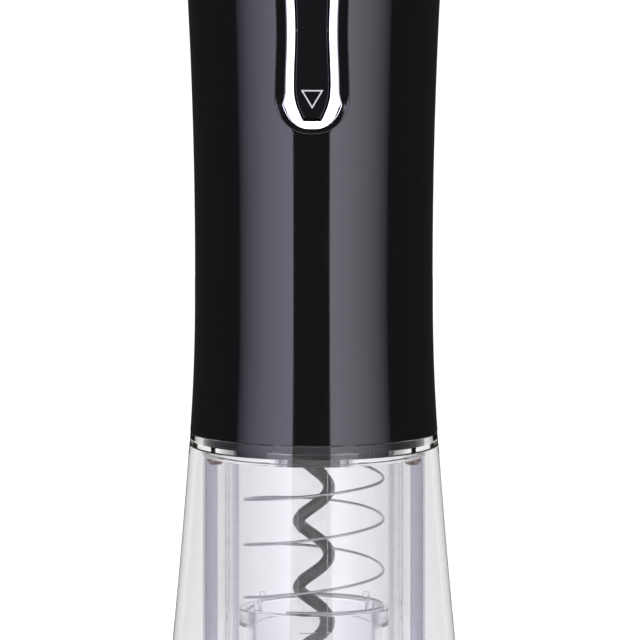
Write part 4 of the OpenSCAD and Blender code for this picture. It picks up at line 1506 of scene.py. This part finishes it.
@dataclass
class Studio:
    """Floor, soft light and camera."""

    elevation: float = 6.8
    azimuth: float = 0.8
    distance: float = 2.5
    lens: float = 675.0
    aim: Vector = field(default_factory=lambda: Vector((1.27 * MM, 0, 107.2 * MM)))
    floor_r: float = 0.13
    backdrop: float = 1.12
    side_light: float = 0.35

    def emitter(self, name: str, azimuth: float, spread: float, low: float, high: float, away: float,
                bright: float, tint: Colour = (1.0, 1.0, 1.0), fade: float = 0.0) -> None:
        """A tall softbox that only reflections and soft light see.

        Args:
            name: its name.
            azimuth: degrees from the front towards +X of its middle.
            spread: degrees that it covers.
            low: height of its lower edge.
            high: height of its upper edge.
            away: distance from the axis.
            bright: its radiance at the edge nearer the front.
            tint: its colour.
            fade: how much of that is lost at its other edge.
        """
        half = away * math.tan(math.radians(spread / 2))
        a = math.radians(azimuth)
        deselect()
        bpy.ops.mesh.primitive_plane_add(size=2)
        box = bpy.context.active_object
        box.name = name
        side = Vector((math.cos(a), math.sin(a), 0))
        middle = Vector((away * math.sin(a), -away * math.cos(a), (low + high) / 2))
        for vertex in box.data.vertices:
            x, y, _ = vertex.co
            vertex.co = middle + side * (half * x) + Vector((0, 0, (high - low) / 2 * y))
        graph = Graph(name)
        across = graph.axis("X") * side.x + graph.axis("Y") * side.y
        outwards = across * (math.copysign(0.5, azimuth) / half) + 0.5
        strength = bright - outwards**1.7 * (bright * fade)
        light = graph.node("ShaderNodeEmission", {}, Color=tint, Strength=strength)
        graph.tree.links.new(light.socket, graph.tree.nodes["Material Output"].inputs["Surface"])
        dress(box, graph.material)
        box.visible_camera = False
        box.visible_transmission = False
        box.visible_shadow = False

    def roof(self) -> None:
        """A softbox overhead."""
        light = bpy.data.lights.new("roof", "AREA")
        light.shape, light.size, light.size_y = "RECTANGLE", 1.2, 1.0
        light.energy = 2.0 * math.pi * light.size * light.size_y
        lamp = bpy.data.objects.new("roof", light)
        lamp.location = (0, -0.35, 1.3)
        lamp.rotation_euler = (Vector((0, -0.35, 1.3)) - Vector((0, 0, 0.15))).to_track_quat("Z", "Y").to_euler()
        bpy.context.scene.collection.objects.link(lamp)
        lamp.visible_camera = False
        lamp.visible_transmission = False

    def world(self) -> None:
        """White for what is seen straight or through the clear parts, and dark in reflections."""
        world = bpy.data.worlds.new("studio")
        bpy.context.scene.world = world
        world.use_nodes = True
        tree = world.node_tree
        back = tree.nodes["Background"]

        def node(kind: str, links: dict[str, object], **settings: object) -> bpy.types.Node:
            """A world node with its settings and its inputs."""
            made = tree.nodes.new(kind)
            for key, value in settings.items():
                setattr(made, key, value)
            for key, value in links.items():
                if isinstance(value, bpy.types.NodeSocket):
                    tree.links.new(value, made.inputs[key])
                else:
                    made.inputs[key].default_value = value
            return made

        path = node("ShaderNodeLightPath", {})
        way = node("ShaderNodeSeparateXYZ", {"Vector": node("ShaderNodeTexCoord", {}).outputs["Generated"]})
        side = node("ShaderNodeMath", {0: way.outputs["X"]}, operation="ABSOLUTE")
        wall = node(
            "ShaderNodeMapRange",
            {
                "Value": side.outputs[0],
                "From Min": 0.55,
                "From Max": 0.9,
                "To Min": 1.0,
                "To Max": self.side_light,
            },
        )
        seen = node("ShaderNodeMix", {0: path.outputs["Is Glossy Ray"], 2: self.backdrop, 3: 0.03})
        seen = node(
            "ShaderNodeMix", {0: path.outputs["Is Transmission Ray"], 2: seen.outputs[0], 3: wall.outputs[0]}
        )
        tree.links.new(seen.outputs[0], back.inputs["Strength"])
        back.inputs["Color"].default_value = (1.0, 1.0, 1.0, 1.0)

    def floor(self) -> None:
        """A plain pale floor."""
        deselect()
        bpy.ops.mesh.primitive_circle_add(vertices=96, radius=self.floor_r, fill_type="NGON")
        floor = bpy.context.active_object
        floor.name = "floor"
        graph = Graph("floor")
        tint = graph.mix(graph.noise(0.6, 2.0), (0.76, 0.76, 0.77), (0.73, 0.73, 0.74))
        dress(floor, graph.shade(Base_Color=tint, Roughness=0.7))
        floor.visible_glossy = False

    def camera(self) -> None:
        """The camera, level with the middle of the grip and a little above."""
        data = bpy.data.cameras.new("camera")
        data.lens, data.sensor_width = self.lens, 36.0
        data.clip_start, data.clip_end = 0.05, 60.0
        cam = bpy.data.objects.new("camera", data)
        e, a = math.radians(self.elevation), math.radians(self.azimuth)
        back = Vector((math.sin(a) * math.cos(e), -math.cos(a) * math.cos(e), math.sin(e)))
        cam.location = self.aim + back * self.distance
        cam.rotation_euler = back.to_track_quat("Z", "Y").to_euler()
        bpy.context.scene.collection.objects.link(cam)
        bpy.context.scene.camera = cam

    def build(self) -> None:
        """Sets the whole studio."""
        self.camera()
        self.floor()
        self.world()
        self.roof()
        self.emitter("softbox_left", self.azimuth - 47.5, 56, -0.35, 1.1, 0.8, 3.2, (1.0, 0.96, 1.22), 0.93)
        self.emitter("softbox_right", self.azimuth + 45, 60, -0.35, 1.1, 0.8, 3.3, (1.0, 0.97, 1.13), 0.93)
        self.emitter("panel_top", self.azimuth, 44, 0.40, 1.1, 0.8, 2.6)
        self.emitter("panel_high", self.azimuth, 130, 1.1, 2.2, 0.8, 2.2)
        self.emitter("strip_back", 180, 16, 0.0, 1.1, 1.0, 1.4)
        scene = bpy.context.scene
        scene.view_settings.view_transform = "Standard"
        scene.cycles.max_bounces = 28
        scene.cycles.transmission_bounces = 28
        scene.cycles.glossy_bounces = 8


def main() -> None:
    """Builds the studio and every sub-assembly in order."""
    logging.basicConfig(level=logging.INFO, format="%(name)s: %(message)s")
    Studio().build()
    grip = Grip()
    rocker_low, rocker_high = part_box("rocker_button")
    middle = (rocker_low.z + rocker_high.z) / 2
    rocker = Waisted(
        half_l=(rocker_high.z - rocker_low.z) / 2, half_w=3.05 * MM, grow=0.33 * MM, middle=middle
    )
    recess = Waisted(
        half_l=rocker.half_l + 3.0 * MM,
        half_w=rocker.half_w + 4.3 * MM,
        grow=rocker.grow,
        middle=middle,
        end=7.5 * MM,
        blunt=0.08,
        fullness=0.5,
    )
    Inside().build()
    housing = Housing(grip, recess)
    housing.build()
    BatteryCap(grip, housing.gloss).build()
    clear = ClearPlastic().build("clear_plastic")
    Skirt(grip, clear).build()
    # The screw posts' clear finish has painted grey shade beyond 20.1 mm from the middle plane.
    Guide(clear, ClearPlastic(shaded=20.1 * MM).build("clear_posts_painted_shade")).build()
    GuideScrews().build()
    Collar(clear).build()
    WormDrive().build()
    Spring().build()
    Button(grip, recess, rocker, housing.gloss).build()


if __name__ == "__main__":
    main()
